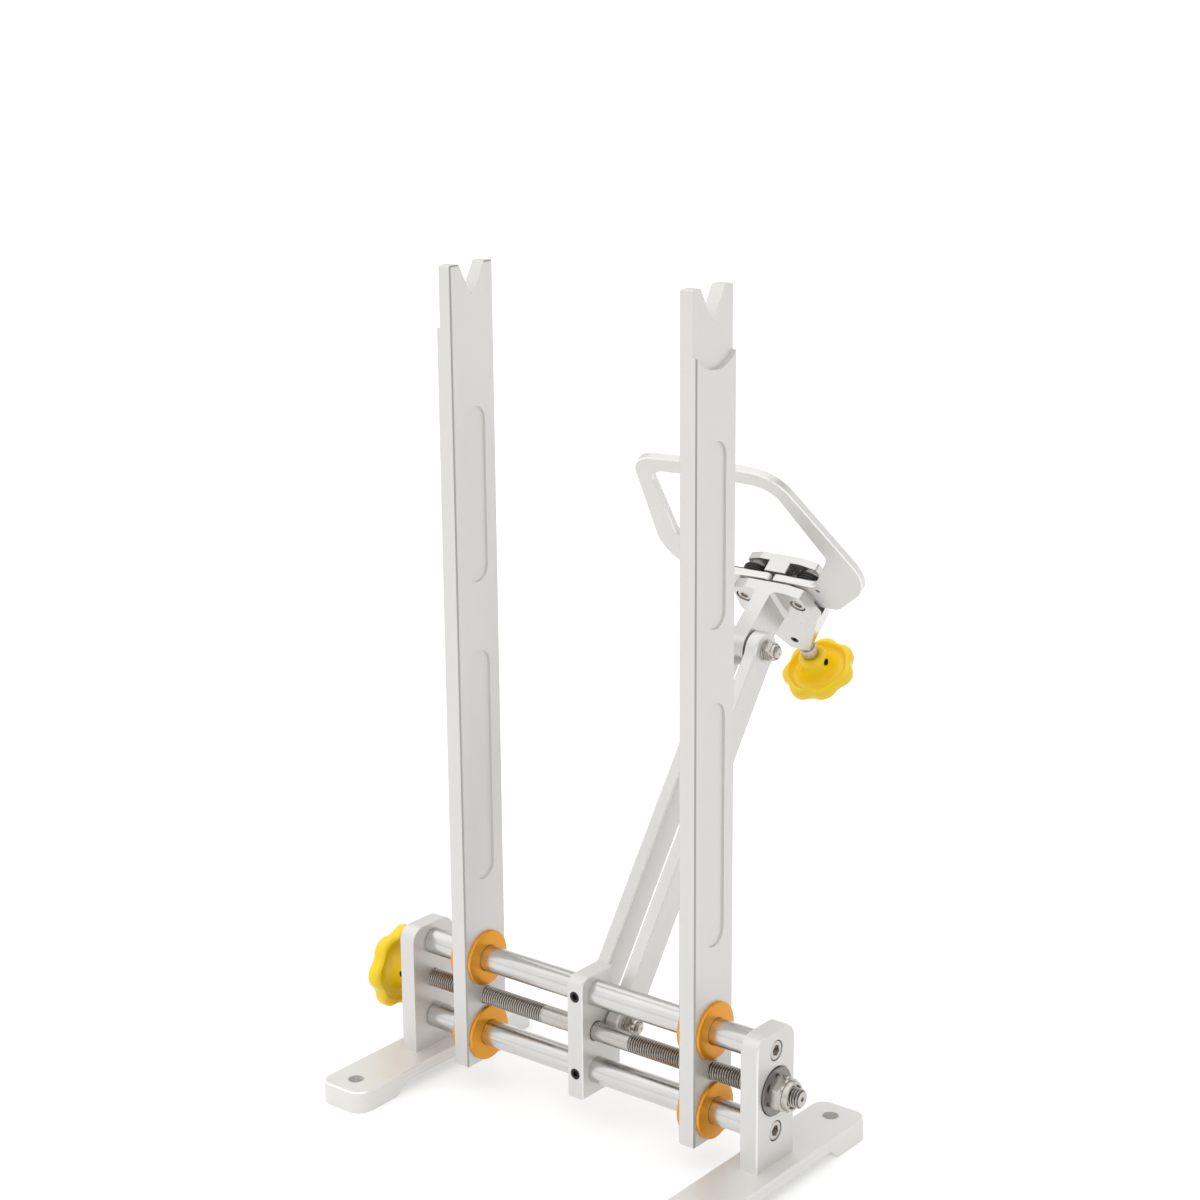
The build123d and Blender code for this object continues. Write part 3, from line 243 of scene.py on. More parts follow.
def dress(material, *names):
    """Gives the named CAD nodes one material in every slot."""
    for name in names:
        if not cad[name].material_slots:
            cad[name].data.materials.append(material)
        for slot in cad[name].material_slots:
            slot.material = material


aluminium_grey = (0.745, 0.735, 0.71, 1)
# Feet, end plates and every part in the plate material keep the default chamfer gain of 1.22: a painted
# highlight along their chamfers.
foot_aluminium = finish_with("foot_aluminium", blast, 0.4, Colour=(0.82, 0.81, 0.78, 1),
                             Chamfer_Way=(0, 0, 1, 1))
plate_aluminium = finish_with("plate_aluminium", blast, 0.45, Colour=aluminium_grey,
                              Chamfer_Way=(1, 0, 0, 1))
dress(foot_aluminium, "left_foot", "right_foot")
dress(plate_aluminium, "left_end_plate", "right_end_plate")

# ---- Foot screws --------------------------------------------------------------------------------
# Stainless socket screws, turned and knurled, that pass up through each foot into its end plate. Every
# turned piece of the stand comes from the same rule: rings along a profile, round or six-sided.


def geometry_tree(name, inputs):
    """An empty geometry tree: a Form that is passed in, named numbers, a Material and a result."""
    tree = bpy.data.node_groups.new(name, "GeometryNodeTree")
    tree.interface.new_socket("Geometry", in_out="OUTPUT", socket_type="NodeSocketGeometry")
    tree.interface.new_socket("Form", in_out="INPUT", socket_type="NodeSocketGeometry")
    for label, default in inputs.items():
        kind = "NodeSocketInt" if isinstance(default, int) else "NodeSocketFloat"
        tree.interface.new_socket(label, in_out="INPUT", socket_type=kind).default_value = default
    tree.interface.new_socket("Material", in_out="INPUT", socket_type="NodeSocketMaterial")
    return tree, tree.nodes.new("NodeGroupInput").outputs, tree.nodes.new("NodeGroupOutput")


def curve_of(tree, operation, value):
    """One maths operation on one value."""
    node = place(tree, "ShaderNodeMath", {"operation": operation})
    wire(tree, node, "0", value)
    return node.outputs[0]


def ring_sheet(tree, rings, sides):
    """A sheet with one row of points for each ring: the mesh, the ring's number, the share of a turn."""
    sheet = place(tree, "GeometryNodeMeshGrid", Size_X=1.0, Size_Y=1.0, Vertices_X=rings,
                  Vertices_Y=sums(tree, "ADD", sides, 1.0))
    spot = place(tree, "ShaderNodeSeparateXYZ")
    tree.links.new(place(tree, "GeometryNodeInputPosition").outputs[0], spot.inputs[0])
    ring = sums(tree, "MULTIPLY", sums(tree, "ADD", spot.outputs["X"], 0.5),
                sums(tree, "SUBTRACT", rings, 1.0))
    return sheet.outputs["Mesh"], ring, sums(tree, "ADD", spot.outputs["Y"], 0.5)


def close_rings(tree, result, sheet, along, radius, turn, sharp, material):
    """Rolls the sheet up about X, closes its seam and ends, creases sharp corners and finishes it."""
    angle = sums(tree, "MULTIPLY", turn, math.tau)
    spot = place(tree, "ShaderNodeCombineXYZ", X=along,
                 Y=sums(tree, "MULTIPLY", radius, curve_of(tree, "COSINE", angle)),
                 Z=sums(tree, "MULTIPLY", radius, curve_of(tree, "SINE", angle)))
    rolled = place(tree, "GeometryNodeSetPosition", Geometry=sheet, Position=spot.outputs[0])
    joined = place(tree, "GeometryNodeMergeByDistance", Geometry=rolled.outputs[0], Distance=2e-6)
    outward = place(tree, "GeometryNodeFlipFaces", Mesh=joined.outputs[0])
    smooth = place(tree, "GeometryNodeSetShadeSmooth", Geometry=outward.outputs[0])
    corner = sums(tree, "GREATER_THAN",
                  place(tree, "GeometryNodeInputMeshEdgeAngle").outputs["Unsigned Angle"], sharp)
    creased = place(tree, "GeometryNodeSetShadeSmooth", {"domain": "EDGE"}, Geometry=smooth.outputs[0],
                    Selection=corner, Shade_Smooth=False)
    realised = place(tree, "GeometryNodeRealizeInstances", Geometry=creased.outputs[0])
    coated = place(tree, "GeometryNodeSetMaterial", Geometry=realised.outputs[0], Material=material)
    tree.links.new(coated.outputs[0], result.inputs[0])


def profile_at(tree, form, ring, label=None):
    """What the profile holds at a ring: its place, or the number kept under a label."""
    kind = "FLOAT" if label else "FLOAT_VECTOR"
    value = (place(tree, "GeometryNodeInputNamedAttribute", {"data_type": "FLOAT"}, Name=label) if label
             else place(tree, "GeometryNodeInputPosition")).outputs[0]
    whole = place(tree, "FunctionNodeFloatToInt", {"rounding_mode": "ROUND"}, Float=ring).outputs[0]
    return place(tree, "GeometryNodeSampleIndex", {"data_type": kind, "domain": "POINT"}, Geometry=form,
                 Value=value, Index=whole).outputs[0]


# Each point of a turned profile holds its place along the axis, its radius, and the radius that its
# corners are cut off at, with the shares of a hexagon and of a knurl in it.
turned, turned_in, turned_out = geometry_tree("turned_piece", {"Rings": 8, "Sides": 48, "Sharp": 0.5})
turned_sheet, turned_ring, turned_turn = ring_sheet(turned, turned_in["Rings"], turned_in["Sides"])
turned_spot = place(turned, "ShaderNodeSeparateXYZ")
turned.links.new(profile_at(turned, turned_in["Form"], turned_ring), turned_spot.inputs[0])
off_flat = sums(turned, "PINGPONG", sums(turned, "MULTIPLY", turned_turn, math.tau), math.pi / 6)
to_flat = sums(turned, "SUBTRACT", sums(turned, "DIVIDE", 1.0, curve_of(turned, "COSINE", off_flat)), 1.0)
six_sided = sums(turned, "ADD", 1.0, sums(turned, "MULTIPLY", to_flat,
                                          profile_at(turned, turned_in["Form"], turned_ring, "flats")))
wave = curve_of(turned, "COSINE", sums(turned, "MULTIPLY", turned_turn, turned_in["Sides"], math.pi))
knurled = sums(turned, "ADD", 1.0, sums(turned, "MULTIPLY", wave,
                                        profile_at(turned, turned_in["Form"], turned_ring, "knurl")))
turned_radius = sums(turned, "MINIMUM", sums(turned, "MULTIPLY", turned_spot.outputs["Y"], six_sided),
                     turned_spot.outputs["Z"])
close_rings(turned, turned_out, turned_sheet, turned_spot.outputs["X"],
            sums(turned, "MULTIPLY", turned_radius, knurled), turned_turn, turned_in["Sharp"],
            turned_in["Material"])


def set_on(spot, along, start):
    """A place whose X runs along the axis and whose Y is where the turn starts, from millimetres."""
    x_way = Vector(along).normalized()
    y_way = (Vector(start) - x_way * x_way.dot(Vector(start))).normalized()
    turned_way = Matrix((x_way, y_way, x_way.cross(y_way))).transposed().to_4x4()
    return Matrix.Translation(Vector(spot) * 0.001) @ turned_way


def grow(name, tree, material, where, form=(), labels=None, **values):
    """Runs a geometry tree on a form in millimetres, keeps the plain mesh and sets it in place."""
    form_mesh = bpy.data.meshes.new(name + "_form")
    form_mesh.from_pydata([[c * 0.001 for c in point] for point in form],
                          [(i, i + 1) for i in range(len(form) - 1)], [])
    for label, numbers in (labels or {}).items():
        form_mesh.attributes.new(label, "FLOAT", "POINT").data.foreach_set("value", numbers)
    seed = bpy.data.objects.new(name + "_form", form_mesh)
    bpy.context.scene.collection.objects.link(seed)
    modifier = seed.modifiers.new("grow", "NODES")
    modifier.node_group = tree
    sockets = {item.name: item.identifier for item in tree.interface.items_tree
               if item.item_type == "SOCKET" and item.in_out == "INPUT"}
    for label, value in dict(values, Material=material).items():
        modifier[sockets[label.replace("_", " ")]] = value
    mesh = bpy.data.meshes.new_from_object(seed.evaluated_get(bpy.context.evaluated_depsgraph_get()))
    bpy.data.objects.remove(seed)
    mesh.transform(where)
    mesh.name = name
    piece = bpy.data.objects.new(name, mesh)
    bpy.context.scene.collection.objects.link(piece)
    return piece


def turn_up(name, material, where, profile, **values):
    """A turned piece. Profile points: along, radius, then a share of hexagon, of knurl, and a cut."""
    rows = [tuple(point) + (0, 0, 1000)[len(point) - 2:] for point in profile]
    return grow(name, turned, material, where, [(row[0], row[1], row[4]) for row in rows],
                {"flats": [row[2] for row in rows], "knurl": [row[3] for row in rows]},
                Rings=len(rows), **values)


def stand_in(name, slot, body, pieces, *nodes):
    """Joins pieces into one that rides on a body in place of CAD nodes."""
    whole = bmesh.new()
    for piece in pieces:
        whole.from_mesh(piece.data)
    for face in whole.faces:
        face.material_index = 0
    mesh = bpy.data.meshes.new(name)
    mesh.materials.append(next(filter(None, pieces[0].data.materials)))
    whole.to_mesh(mesh)
    whole.free()
    for piece in pieces:
        bpy.data.objects.remove(piece)
    joined = bpy.data.objects.new(name, mesh)
    bpy.context.scene.collection.objects.link(joined)
    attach(joined, body)
    if nodes:
        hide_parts(*nodes)


def socket_screw(name, seat, along, start, thread, length, head, height, socket, knurl=0.006, tip=None):
    """A cap screw whose head's underside is at the seat and whose head points along the axis."""
    hole, shank = socket / 2, thread / 2
    body = [(-length, 0), (-length, shank - 0.4), (-length + 0.4, shank)]
    if tip:
        body = [(-length, 0), (-length, tip[0] / 2 - 0.2), (-length + 0.2, tip[0] / 2),
                (-length + tip[1], tip[0] / 2), (-length + tip[1], shank)]
    return turn_up(name, screw_steel, set_on(seat, along, start), body + [
        (0, shank), (0, head / 2 - 0.3), (0.3, head / 2), (0.5, head / 2, 0, knurl),
        (height - 0.9, head / 2, 0, knurl), (height - 0.7, head / 2), (height - 0.2, head / 2 - 0.3),
        (height, head / 2 - 0.8), (height, hole + 0.25, 1), (height - 0.25, hole, 1),
        (height * 0.5, hole, 1), (height * 0.5 - hole * 0.4, 0)], Sides=72)


turning, turning_in, turning_out = effect_group(
    "turned_metal",
    {"Colour": (0.6, 0.6, 0.6, 1), "Cloud Scale": 90.0, "Cloud Amount": 0.16, "Scratch Scale": 500.0,
     "Scratch Depth": 0.05, "Roughness": 0.22, "Roughness Spread": 0.2},
    surface_outputs)
turning_where = place(turning, "ShaderNodeTexCoord").outputs["Object"]
stain = place(turning, "ShaderNodeTexNoise", Vector=turning_where, Scale=turning_in["Cloud Scale"],
              Detail=5.0, Roughness=0.65).outputs["Fac"]
scratch = place(turning, "ShaderNodeTexNoise", Vector=turning_where, Scale=turning_in["Scratch Scale"],
                Detail=3.0, Roughness=0.7, Distortion=0.4).outputs["Fac"]
stain_share = sums(turning, "MULTIPLY", sums(turning, "SUBTRACT", stain, 0.5), turning_in["Cloud Amount"])
turning_tint = place(turning, "ShaderNodeVectorMath", {"operation": "SCALE"},
                     Scale=sums(turning, "ADD", stain_share, 1.0))
wire(turning, turning_tint, "0", turning_in["Colour"])
turning_rough = sums(turning, "MULTIPLY", sums(turning, "SUBTRACT", scratch, 0.5),
                     turning_in["Roughness Spread"])
wire(turning, turning_out, "Colour", turning_tint.outputs[0])
wire(turning, turning_out, "Roughness", sums(turning, "ADD", turning_rough, turning_in["Roughness"]))
wire(turning, turning_out, "Normal", place(turning, "ShaderNodeBump", Strength=turning_in["Scratch Depth"],
                                           Distance=0.0002, Height=scratch).outputs[0])

screw_steel = finish_with("screw_steel", turning, 1.0, Colour=(0.53, 0.50, 0.46, 1), Roughness=0.22)
stand_in("foot_screw_set", "stainless_steel", "base",
         [socket_screw("foot_screw", (side * 112.4, y, 9.4), (0, 0, -1), (1, 0, 0), 6, 13.6, 10, 3.4, 4)
          for side in (-1, 1) for y in (-8, 8)], "foot_screws")

# ---- Guide rods ---------------------------------------------------------------------------------
# Two hardened steel shafts, centreless ground, so that their grain runs round them in very fine rings
# with a few faint bands. A socket screw sunk in each end plate pulls each rod's end tight.
rod_heights = (72.6, 29.5)
ground, ground_in, ground_out = effect_group(
    "ground_rings",
    {"Colour": (0.6, 0.6, 0.6, 1), "Ring Scale": 900.0, "Ring Depth": 0.06, "Band Scale": 45.0,
     "Band Amount": 0.14, "Roughness": 0.16, "Roughness Spread": 0.14},
    surface_outputs)
ground_where = place(ground, "ShaderNodeMapping",
                     Vector=place(ground, "ShaderNodeTexCoord").outputs["Object"],
                     Scale=(1.0, 0.05, 0.05)).outputs[0]
fine_rings = place(ground, "ShaderNodeTexNoise", Vector=ground_where, Scale=ground_in["Ring Scale"],
                   Detail=3.0, Roughness=0.7).outputs["Fac"]
bands = place(ground, "ShaderNodeTexNoise", Vector=ground_where, Scale=ground_in["Band Scale"],
              Detail=2.0).outputs["Fac"]
band_share = sums(ground, "MULTIPLY", sums(ground, "SUBTRACT", bands, 0.5), ground_in["Band Amount"])
ground_tint = place(ground, "ShaderNodeVectorMath", {"operation": "SCALE"},
                    Scale=sums(ground, "ADD", band_share, 1.0))
wire(ground, ground_tint, "0", ground_in["Colour"])
ground_rough = sums(ground, "MULTIPLY", sums(ground, "SUBTRACT", fine_rings, 0.5),
                    ground_in["Roughness Spread"])
wire(ground, ground_out, "Colour", ground_tint.outputs[0])
wire(ground, ground_out, "Roughness", sums(ground, "ADD", ground_rough, ground_in["Roughness"]))
wire(ground, ground_out, "Normal", place(ground, "ShaderNodeBump", Strength=ground_in["Ring Depth"],
                                         Distance=0.0001, Height=fine_rings).outputs[0])

ground_rod = finish_with("ground_rod", ground, 1.0, Colour=(0.63, 0.625, 0.61, 1), Roughness=0.24)
dress(ground_rod, "upper_guide_rod", "lower_guide_rod")
stand_in("rod_screw_set", "stainless_steel", "base",
         [socket_screw("rod_screw", (side * 111.3, 0, z), (side, 0, 0), (0, 0.3, 1), 6, 16.9, 10, 6, 5)
          for side in (-1, 1) for z in rod_heights], "rod_end_screws")

# ---- Centre block -------------------------------------------------------------------------------
# An aluminium block clamped midway along both rods by black grub screws in its front edge. Its lug
# behind carries the arm.
dress(plate_aluminium, "centre_block")
black_oxide = finish_with("black_oxide", turning, 0.8, Colour=(0.035, 0.034, 0.033, 1), Roughness=0.32)
stand_in("block_grub_set", "black_steel", "base",
         [turn_up("block_grub", black_oxide, set_on((0, -11.3, z), (0, -1, 0), (1, 0, 0)),
                  [(-4.1, 0), (-4.1, 2.6), (-3.7, 3), (-0.4, 3), (0, 2.6), (0, 1.75, 1), (-0.2, 1.5, 1),
                   (-2, 1.5, 1), (-2.6, 0)]) for z in rod_heights], "block_grub_screws")

# ---- Leadscrew ----------------------------------------------------------------------------------
# One stainless M10 bar, with a right-hand thread cut on its right half, a left-hand one on its left
# half, and plain in the middle where it passes through the centre block.
leadscrew_height = 51.05
plain_half, right_end, left_end = 0.028, 0.1329, 0.1344
crest_flat, root_flat, flank_slope = 0.14, 0.88, 1.35
threaded, bar_in, bar_out = geometry_tree("threaded_bar", {
    "Length": 0.1, "Radius": 0.005, "Pitch": 0.0015, "Depth": 0.0009, "Hand": 1.0, "Thread Start": 0.0,
    "Chamfer": 0.001, "Drill Radius": 0.0012, "Drill Depth": 0.002, "Rings": 400, "Sides": 30, "Sharp": 0.6})
bar_sheet, bar_ring, bar_turn = ring_sheet(threaded, bar_in["Rings"], bar_in["Sides"])
rings_along = sums(threaded, "DIVIDE", bar_ring, sums(threaded, "SUBTRACT", bar_in["Rings"], 3.0))
along = sums(threaded, "MULTIPLY", sums(threaded, "MINIMUM", rings_along, 1.0), bar_in["Length"])
phase = sums(threaded, "SUBTRACT", sums(threaded, "DIVIDE", along, bar_in["Pitch"]),
             sums(threaded, "MULTIPLY", bar_turn, bar_in["Hand"]))
flank = sums(threaded, "MULTIPLY", sums(threaded, "PINGPONG", phase, 0.5), 2.0)
flank = sums(threaded, "MINIMUM", sums(threaded, "MAXIMUM", flank, crest_flat), root_flat)
flank = sums(threaded, "SUBTRACT", flank, crest_flat)
run_in = sums(threaded, "DIVIDE", sums(threaded, "SUBTRACT", along, bar_in["Thread Start"]),
              bar_in["Pitch"])
run_in = sums(threaded, "MINIMUM", sums(threaded, "MAXIMUM", run_in, 0.0), 1.0)
crest = sums(threaded, "SUBTRACT", bar_in["Radius"],
             sums(threaded, "MULTIPLY", flank, bar_in["Depth"], run_in, flank_slope))
from_end = sums(threaded, "SUBTRACT", bar_in["Length"], along)
taper = sums(threaded, "ADD", sums(threaded, "SUBTRACT", bar_in["Radius"], bar_in["Chamfer"]), from_end)
bar_radius = sums(threaded, "MINIMUM", crest, taper)
bar_radius = sums(threaded, "MULTIPLY", bar_radius, sums(threaded, "GREATER_THAN", bar_ring, 0.5))
drilled = sums(threaded, "GREATER_THAN", bar_ring, sums(threaded, "SUBTRACT", bar_in["Rings"], 2.5))
centred = sums(threaded, "GREATER_THAN", bar_ring, sums(threaded, "SUBTRACT", bar_in["Rings"], 1.5))
bar_radius = sums(threaded, "ADD",
                  sums(threaded, "MULTIPLY", bar_radius, sums(threaded, "SUBTRACT", 1.0, drilled)),
                  sums(threaded, "MULTIPLY", bar_in["Drill Radius"],
                       sums(threaded, "SUBTRACT", drilled, centred)))
along = sums(threaded, "SUBTRACT", along, sums(threaded, "MULTIPLY", bar_in["Drill Depth"], centred))
close_rings(threaded, bar_out, bar_sheet, along, bar_radius, bar_turn, bar_in["Sharp"], bar_in["Material"])

leadscrew_steel = finish_with("leadscrew_steel", turning, 1.0, Colour=(0.52, 0.49, 0.455, 1),
                              Roughness=0.26, Cloud_Amount=0.08)
# Painted shade: the colour darkens towards the thread's root, where shade falls in the groove, but not on
# the bar's ends
thread_root, thread_rise, end_facing = 0.0041, 1111.0, 0.9
thread_shade_tree = leadscrew_steel.node_tree
from_axis = place(thread_shade_tree, "ShaderNodeVectorMath", {"operation": "SUBTRACT"})
wire(thread_shade_tree, from_axis, "0", place(thread_shade_tree, "ShaderNodeTexCoord").outputs["Object"])
wire(thread_shade_tree, from_axis, "1", (0.0, 0.0, leadscrew_height * 0.001))
across_bar = place(thread_shade_tree, "ShaderNodeVectorMath", {"operation": "MULTIPLY"})
wire(thread_shade_tree, across_bar, "0", from_axis.outputs[0])
wire(thread_shade_tree, across_bar, "1", (0.0, 1.0, 1.0))
off_axis = place(thread_shade_tree, "ShaderNodeVectorMath", {"operation": "LENGTH"})
wire(thread_shade_tree, off_axis, "0", across_bar.outputs[0])
up_flank = sums(thread_shade_tree, "MULTIPLY", sums(thread_shade_tree, "SUBTRACT", off_axis.outputs["Value"], thread_root),
                thread_rise)
root_shade = ramp(thread_shade_tree, up_flank, [(0.0, 0.24), (0.5, 0.5), (0.8, 1.0)])
bar_end = place(thread_shade_tree, "ShaderNodeSeparateXYZ")
thread_shade_tree.links.new(place(thread_shade_tree, "ShaderNodeNewGeometry").outputs["True Normal"], bar_end.inputs[0])
root_shade = sums(thread_shade_tree, "MAXIMUM", root_shade, sums(thread_shade_tree, "GREATER_THAN", sums(
    thread_shade_tree, "PINGPONG", bar_end.outputs["X"], 1.0), end_facing))
thread_shade_look = next(n for n in thread_shade_tree.nodes if n.type == "BSDF_PRINCIPLED")
painted_root_shade_tint = place(thread_shade_tree, "ShaderNodeVectorMath", {"operation": "MULTIPLY"})
wire(thread_shade_tree, painted_root_shade_tint, "0", thread_shade_look.inputs["Base Color"].links[0].from_socket)
wire(thread_shade_tree, painted_root_shade_tint, "1", root_shade)
wire(thread_shade_tree, thread_shade_look, "Base Color", painted_root_shade_tint.outputs[0])
stand_in("leadscrew_threads", "stainless_steel", "leadscrew",
         [grow("leadscrew_half", threaded, leadscrew_steel,
               set_on((0, 0, leadscrew_height), (side, 0, 0), (0, -side, 0)), Length=length,
               Thread_Start=plain_half, Hand=float(side), Rings=900)
          for side, length in ((1, right_end), (-1, left_end))], "leadscrew")


def lock_nut(name, seat, along, start, flats, height, bore):
    """A six-sided nut with chamfered corners and a rounded collar, with a shallow recess where its nylon
    ring would sit; no ring is drawn.
    """
    half, body = flats / 2, height * 0.72
    return turn_up(name, screw_steel, set_on(seat, along, start), [
        (0, bore), (0, half * 0.97), (0, half, 1, 0, half * 1.02), (half * 0.07, half, 1, 0, half * 1.10),
        (half * 0.14, half, 1), (body - half * 0.16, half, 1), (body - half * 0.08, half, 1, 0, half * 1.09),
        (body, half, 1, 0, half * 1.0), (body + 0.05, half * 0.93), (height - 0.14 * half, half * 0.925),
        (height - 0.04 * half, half * 0.88), (height, half * 0.80), (height - 0.02 * half, half * 0.74),
        (height - 0.25 * half, half * 0.70), (height - 0.28 * half, bore), (0, bore)], Sides=72, Sharp=0.42)


def flat_washer(name, material, seat, along, outer, inner, thickness):
    """A stamped washer with its edges slightly rounded."""
    edge = thickness * 0.16
    return turn_up(name, material, set_on(seat, along, (0, 0.6, 0.8)), [
        (0, inner), (0, outer - edge), (edge, outer), (thickness - edge, outer),
        (thickness, outer - edge), (thickness, inner), (0, inner)], Sides=72)


washer_steel = finish_with("washer_steel", turning, 1.0, Colour=(0.24, 0.23, 0.22, 1), Roughness=0.3)
stand_in("leadscrew_washer_pair", "stainless_steel", "leadscrew",
         [flat_washer("leadscrew_washer", washer_steel, (side * 116.5, 0, leadscrew_height), (side, 0, 0),
                      12.5, 5.0, 1.9) for side in (-1, 1)], "leadscrew_washers")
stand_in("leadscrew_nut", "stainless_steel", "leadscrew",
         [lock_nut("nut", (118.4, 0, leadscrew_height), (1, 0, 0), (0, 0.5, 0.87), 17, 10, 5.0)],
         "leadscrew_lock_nut")

# ---- Hand knob of the leadscrew -----------------------------------------------------------------
# A seven-lobed star moulded in glossy yellow plastic, dished on its inner side around a broad hub, and
# fixed on the leadscrew's end by a grub screw through the hub.
star, star_in, star_out = geometry_tree("star_knob", {
    "Rings": 8, "Sides": 168, "Lobes": 7.0, "Reach": 0.0215, "Lobe Radius": 0.0065, "Lobe Centre": 0.015,
    "Valley Radius": 0.005, "Valley Centre": 0.023, "Touch": 0.3, "Sharp": 0.9})
star_sheet, star_ring, star_turn = ring_sheet(star, star_in["Rings"], star_in["Sides"])
star_spot = place(star, "ShaderNodeSeparateXYZ")
star.links.new(profile_at(star, star_in["Form"], star_ring), star_spot.inputs[0])
half_step = sums(star, "DIVIDE", math.pi, star_in["Lobes"])
off_lobe = sums(star, "PINGPONG", sums(star, "MULTIPLY", star_turn, math.tau), half_step)
off_valley = sums(star, "SUBTRACT", half_step, off_lobe)


def arc_reach(centre, radius, angle):
    """Distances to the middle of a circle's chord and half the chord's length, seen from the axis."""
    middle = sums(star, "MULTIPLY", centre, curve_of(star, "COSINE", angle))
    off = sums(star, "MULTIPLY", centre, curve_of(star, "SINE", angle))
    chord = sums(star, "SUBTRACT", sums(star, "MULTIPLY", radius, radius), sums(star, "MULTIPLY", off, off))
    return middle, curve_of(star, "SQRT", sums(star, "MAXIMUM", chord, 0.0))


lobe_middle, lobe_half = arc_reach(star_in["Lobe Centre"], star_in["Lobe Radius"], off_lobe)
valley_middle, valley_half = arc_reach(star_in["Valley Centre"], star_in["Valley Radius"], off_valley)
on_lobe = sums(star, "LESS_THAN", off_lobe, star_in["Touch"])
outline = sums(star, "ADD",
               sums(star, "MULTIPLY", sums(star, "ADD", lobe_middle, lobe_half), on_lobe),
               sums(star, "MULTIPLY", sums(star, "SUBTRACT", valley_middle, valley_half),
                    sums(star, "SUBTRACT", 1.0, on_lobe)))
hollow = sums(star, "SUBTRACT", sums(star, "DIVIDE", outline, star_in["Reach"]), 1.0)
lobed = sums(star, "ADD", 1.0, sums(star, "MULTIPLY", hollow,
                                    profile_at(star, star_in["Form"], star_ring, "lobes")))
close_rings(star, star_out, star_sheet, star_spot.outputs["X"],
            sums(star, "MULTIPLY", star_spot.outputs["Y"], lobed), star_turn, star_in["Sharp"],
            star_in["Material"])

knob_lobe, knob_valley, half_lobe_turn = 8.5, 10.0, math.pi / 7
grub_hole_radius, grub_hole_depth, grub_hole_down, grub_hole_out = 2.05, 8, 5, 8.5


def star_knob(name, material, reach, rim, along, start, bore):
    """A knob from its rim's plane, its hub standing 10 mm out against the axis, with a blind bore."""
    lobe_centre = reach - knob_lobe
    valley_centre = lobe_centre * math.cos(half_lobe_turn) + math.sqrt(
        (knob_lobe + knob_valley) ** 2 - (lobe_centre * math.sin(half_lobe_turn)) ** 2)
    share = knob_lobe / (knob_lobe + knob_valley)
    touch = math.atan2(valley_centre * math.sin(half_lobe_turn) * share,
                       lobe_centre + (valley_centre * math.cos(half_lobe_turn) - lobe_centre) * share)
    rows = [(6, 0, 0), (6, bore, 0), (-9.8, bore, 0), (-10, bore + 0.2, 0), (-10, 6.9, 0),
            (-9.85, 7.4, 0), (-9.3, 7.75, 0), (-7.5, 8.05, 0), (-5, 8.35, 0), (-2, 8.9, 0), (0, 9.5, 0),
            (1.6, 10.2, 0), (2.9, 11.1, 0), (3.9, 12.3, 0), (4.4, 13.5, 0)]
    rows += [(x, reach - inward, lobed_share) for x, inward, lobed_share in (
        (4.4, 7.1, 0.05), (3.8, 6.1, 0.1), (2.7, 5.3, 0.16), (1.5, 4.8, 0.24), (0.65, 4.3, 0.34),
        (0.15, 3.6, 0.5), (0, 2.9, 0.68), (0.1, 2.0, 0.88), (0.5, 1.1, 1), (1.2, 0.4, 1), (2.1, 0, 1),
        (5.9, 0, 1), (6.8, 0.4, 1), (7.5, 1.1, 1), (7.9, 2.1, 0.95), (8, 3.6, 0.8), (7.9, 8, 0.4))]
    rows += [(7.75, 9, 0), (7.7, 0, 0)]
    piece = grow(name, star, material, set_on(rim, along, start), [(row[0], row[1], 0) for row in rows],
                 {"lobes": [row[2] for row in rows]}, Rings=len(rows), Reach=reach * 0.001,
                 Lobe_Radius=knob_lobe * 0.001, Lobe_Centre=lobe_centre * 0.001,
                 Valley_Radius=knob_valley * 0.001, Valley_Centre=valley_centre * 0.001, Touch=touch)
    hole_shape = bmesh.new()
    bmesh.ops.create_cone(hole_shape, cap_ends=True, segments=32, radius1=grub_hole_radius * 0.001,
                          radius2=grub_hole_radius * 0.001, depth=grub_hole_depth * 0.001)
    hole_mesh = bpy.data.meshes.new("grub_hole")
    hole_shape.to_mesh(hole_mesh)
    hole_shape.free()
    way = Vector(start).normalized()
    hole_spot = Vector(rim) - Vector(along).normalized() * grub_hole_down + way * grub_hole_out
    hole_mesh.transform(Matrix.Translation(hole_spot * 0.001)
                        @ way.to_track_quat("Z", "Y").to_matrix().to_4x4())
    hole = bpy.data.objects.new("grub_hole", hole_mesh)
    bpy.context.scene.collection.objects.link(hole)
    cut = piece.modifiers.new("grub_hole", "BOOLEAN")
    cut.operation, cut.solver, cut.object = "DIFFERENCE", "EXACT", hole
    holed = bpy.data.meshes.new_from_object(piece.evaluated_get(bpy.context.evaluated_depsgraph_get()))
    piece.modifiers.clear()
    piece.data = holed
    bpy.data.objects.remove(hole)
    return piece


yellow_plastic = finish_with("yellow_plastic", blast, 0.0, coat=0.1, Colour=(1.0, 0.69, 0.006, 1),
                             Roughness=0.3, Grain_Depth=0.03, Speckle=0.02, Grain_Scale=900.0)
stand_in("lead_star_knob", "yellow_plastic", "leadscrew",
         [star_knob("lead_star", yellow_plastic, 23.2, (-128.4, 0, leadscrew_height), (-1, 0, 0),
                    (0, -1, 0), 5.0)],
         "lead_knob")
dress(black_oxide, "lead_knob_grub_screw")

# ---- Uprights -----------------------------------------------------------------------------------
# Two tall bars milled from aluminium flat, notched at the top for the wheel's axle. Each rides on the
# guide rods and is tapped for one half of the leadscrew.
# The uprights' chamfers are darkened by a gain under one: painted shade lines along their edges.
upright_aluminium = finish_with("upright_aluminium", blast, 0.45, Colour=aluminium_grey,
                                Chamfer_Way=(1, 0, 0, 1), Chamfer_Gain=0.5)
dress(upright_aluminium, "left_upright", "right_upright")

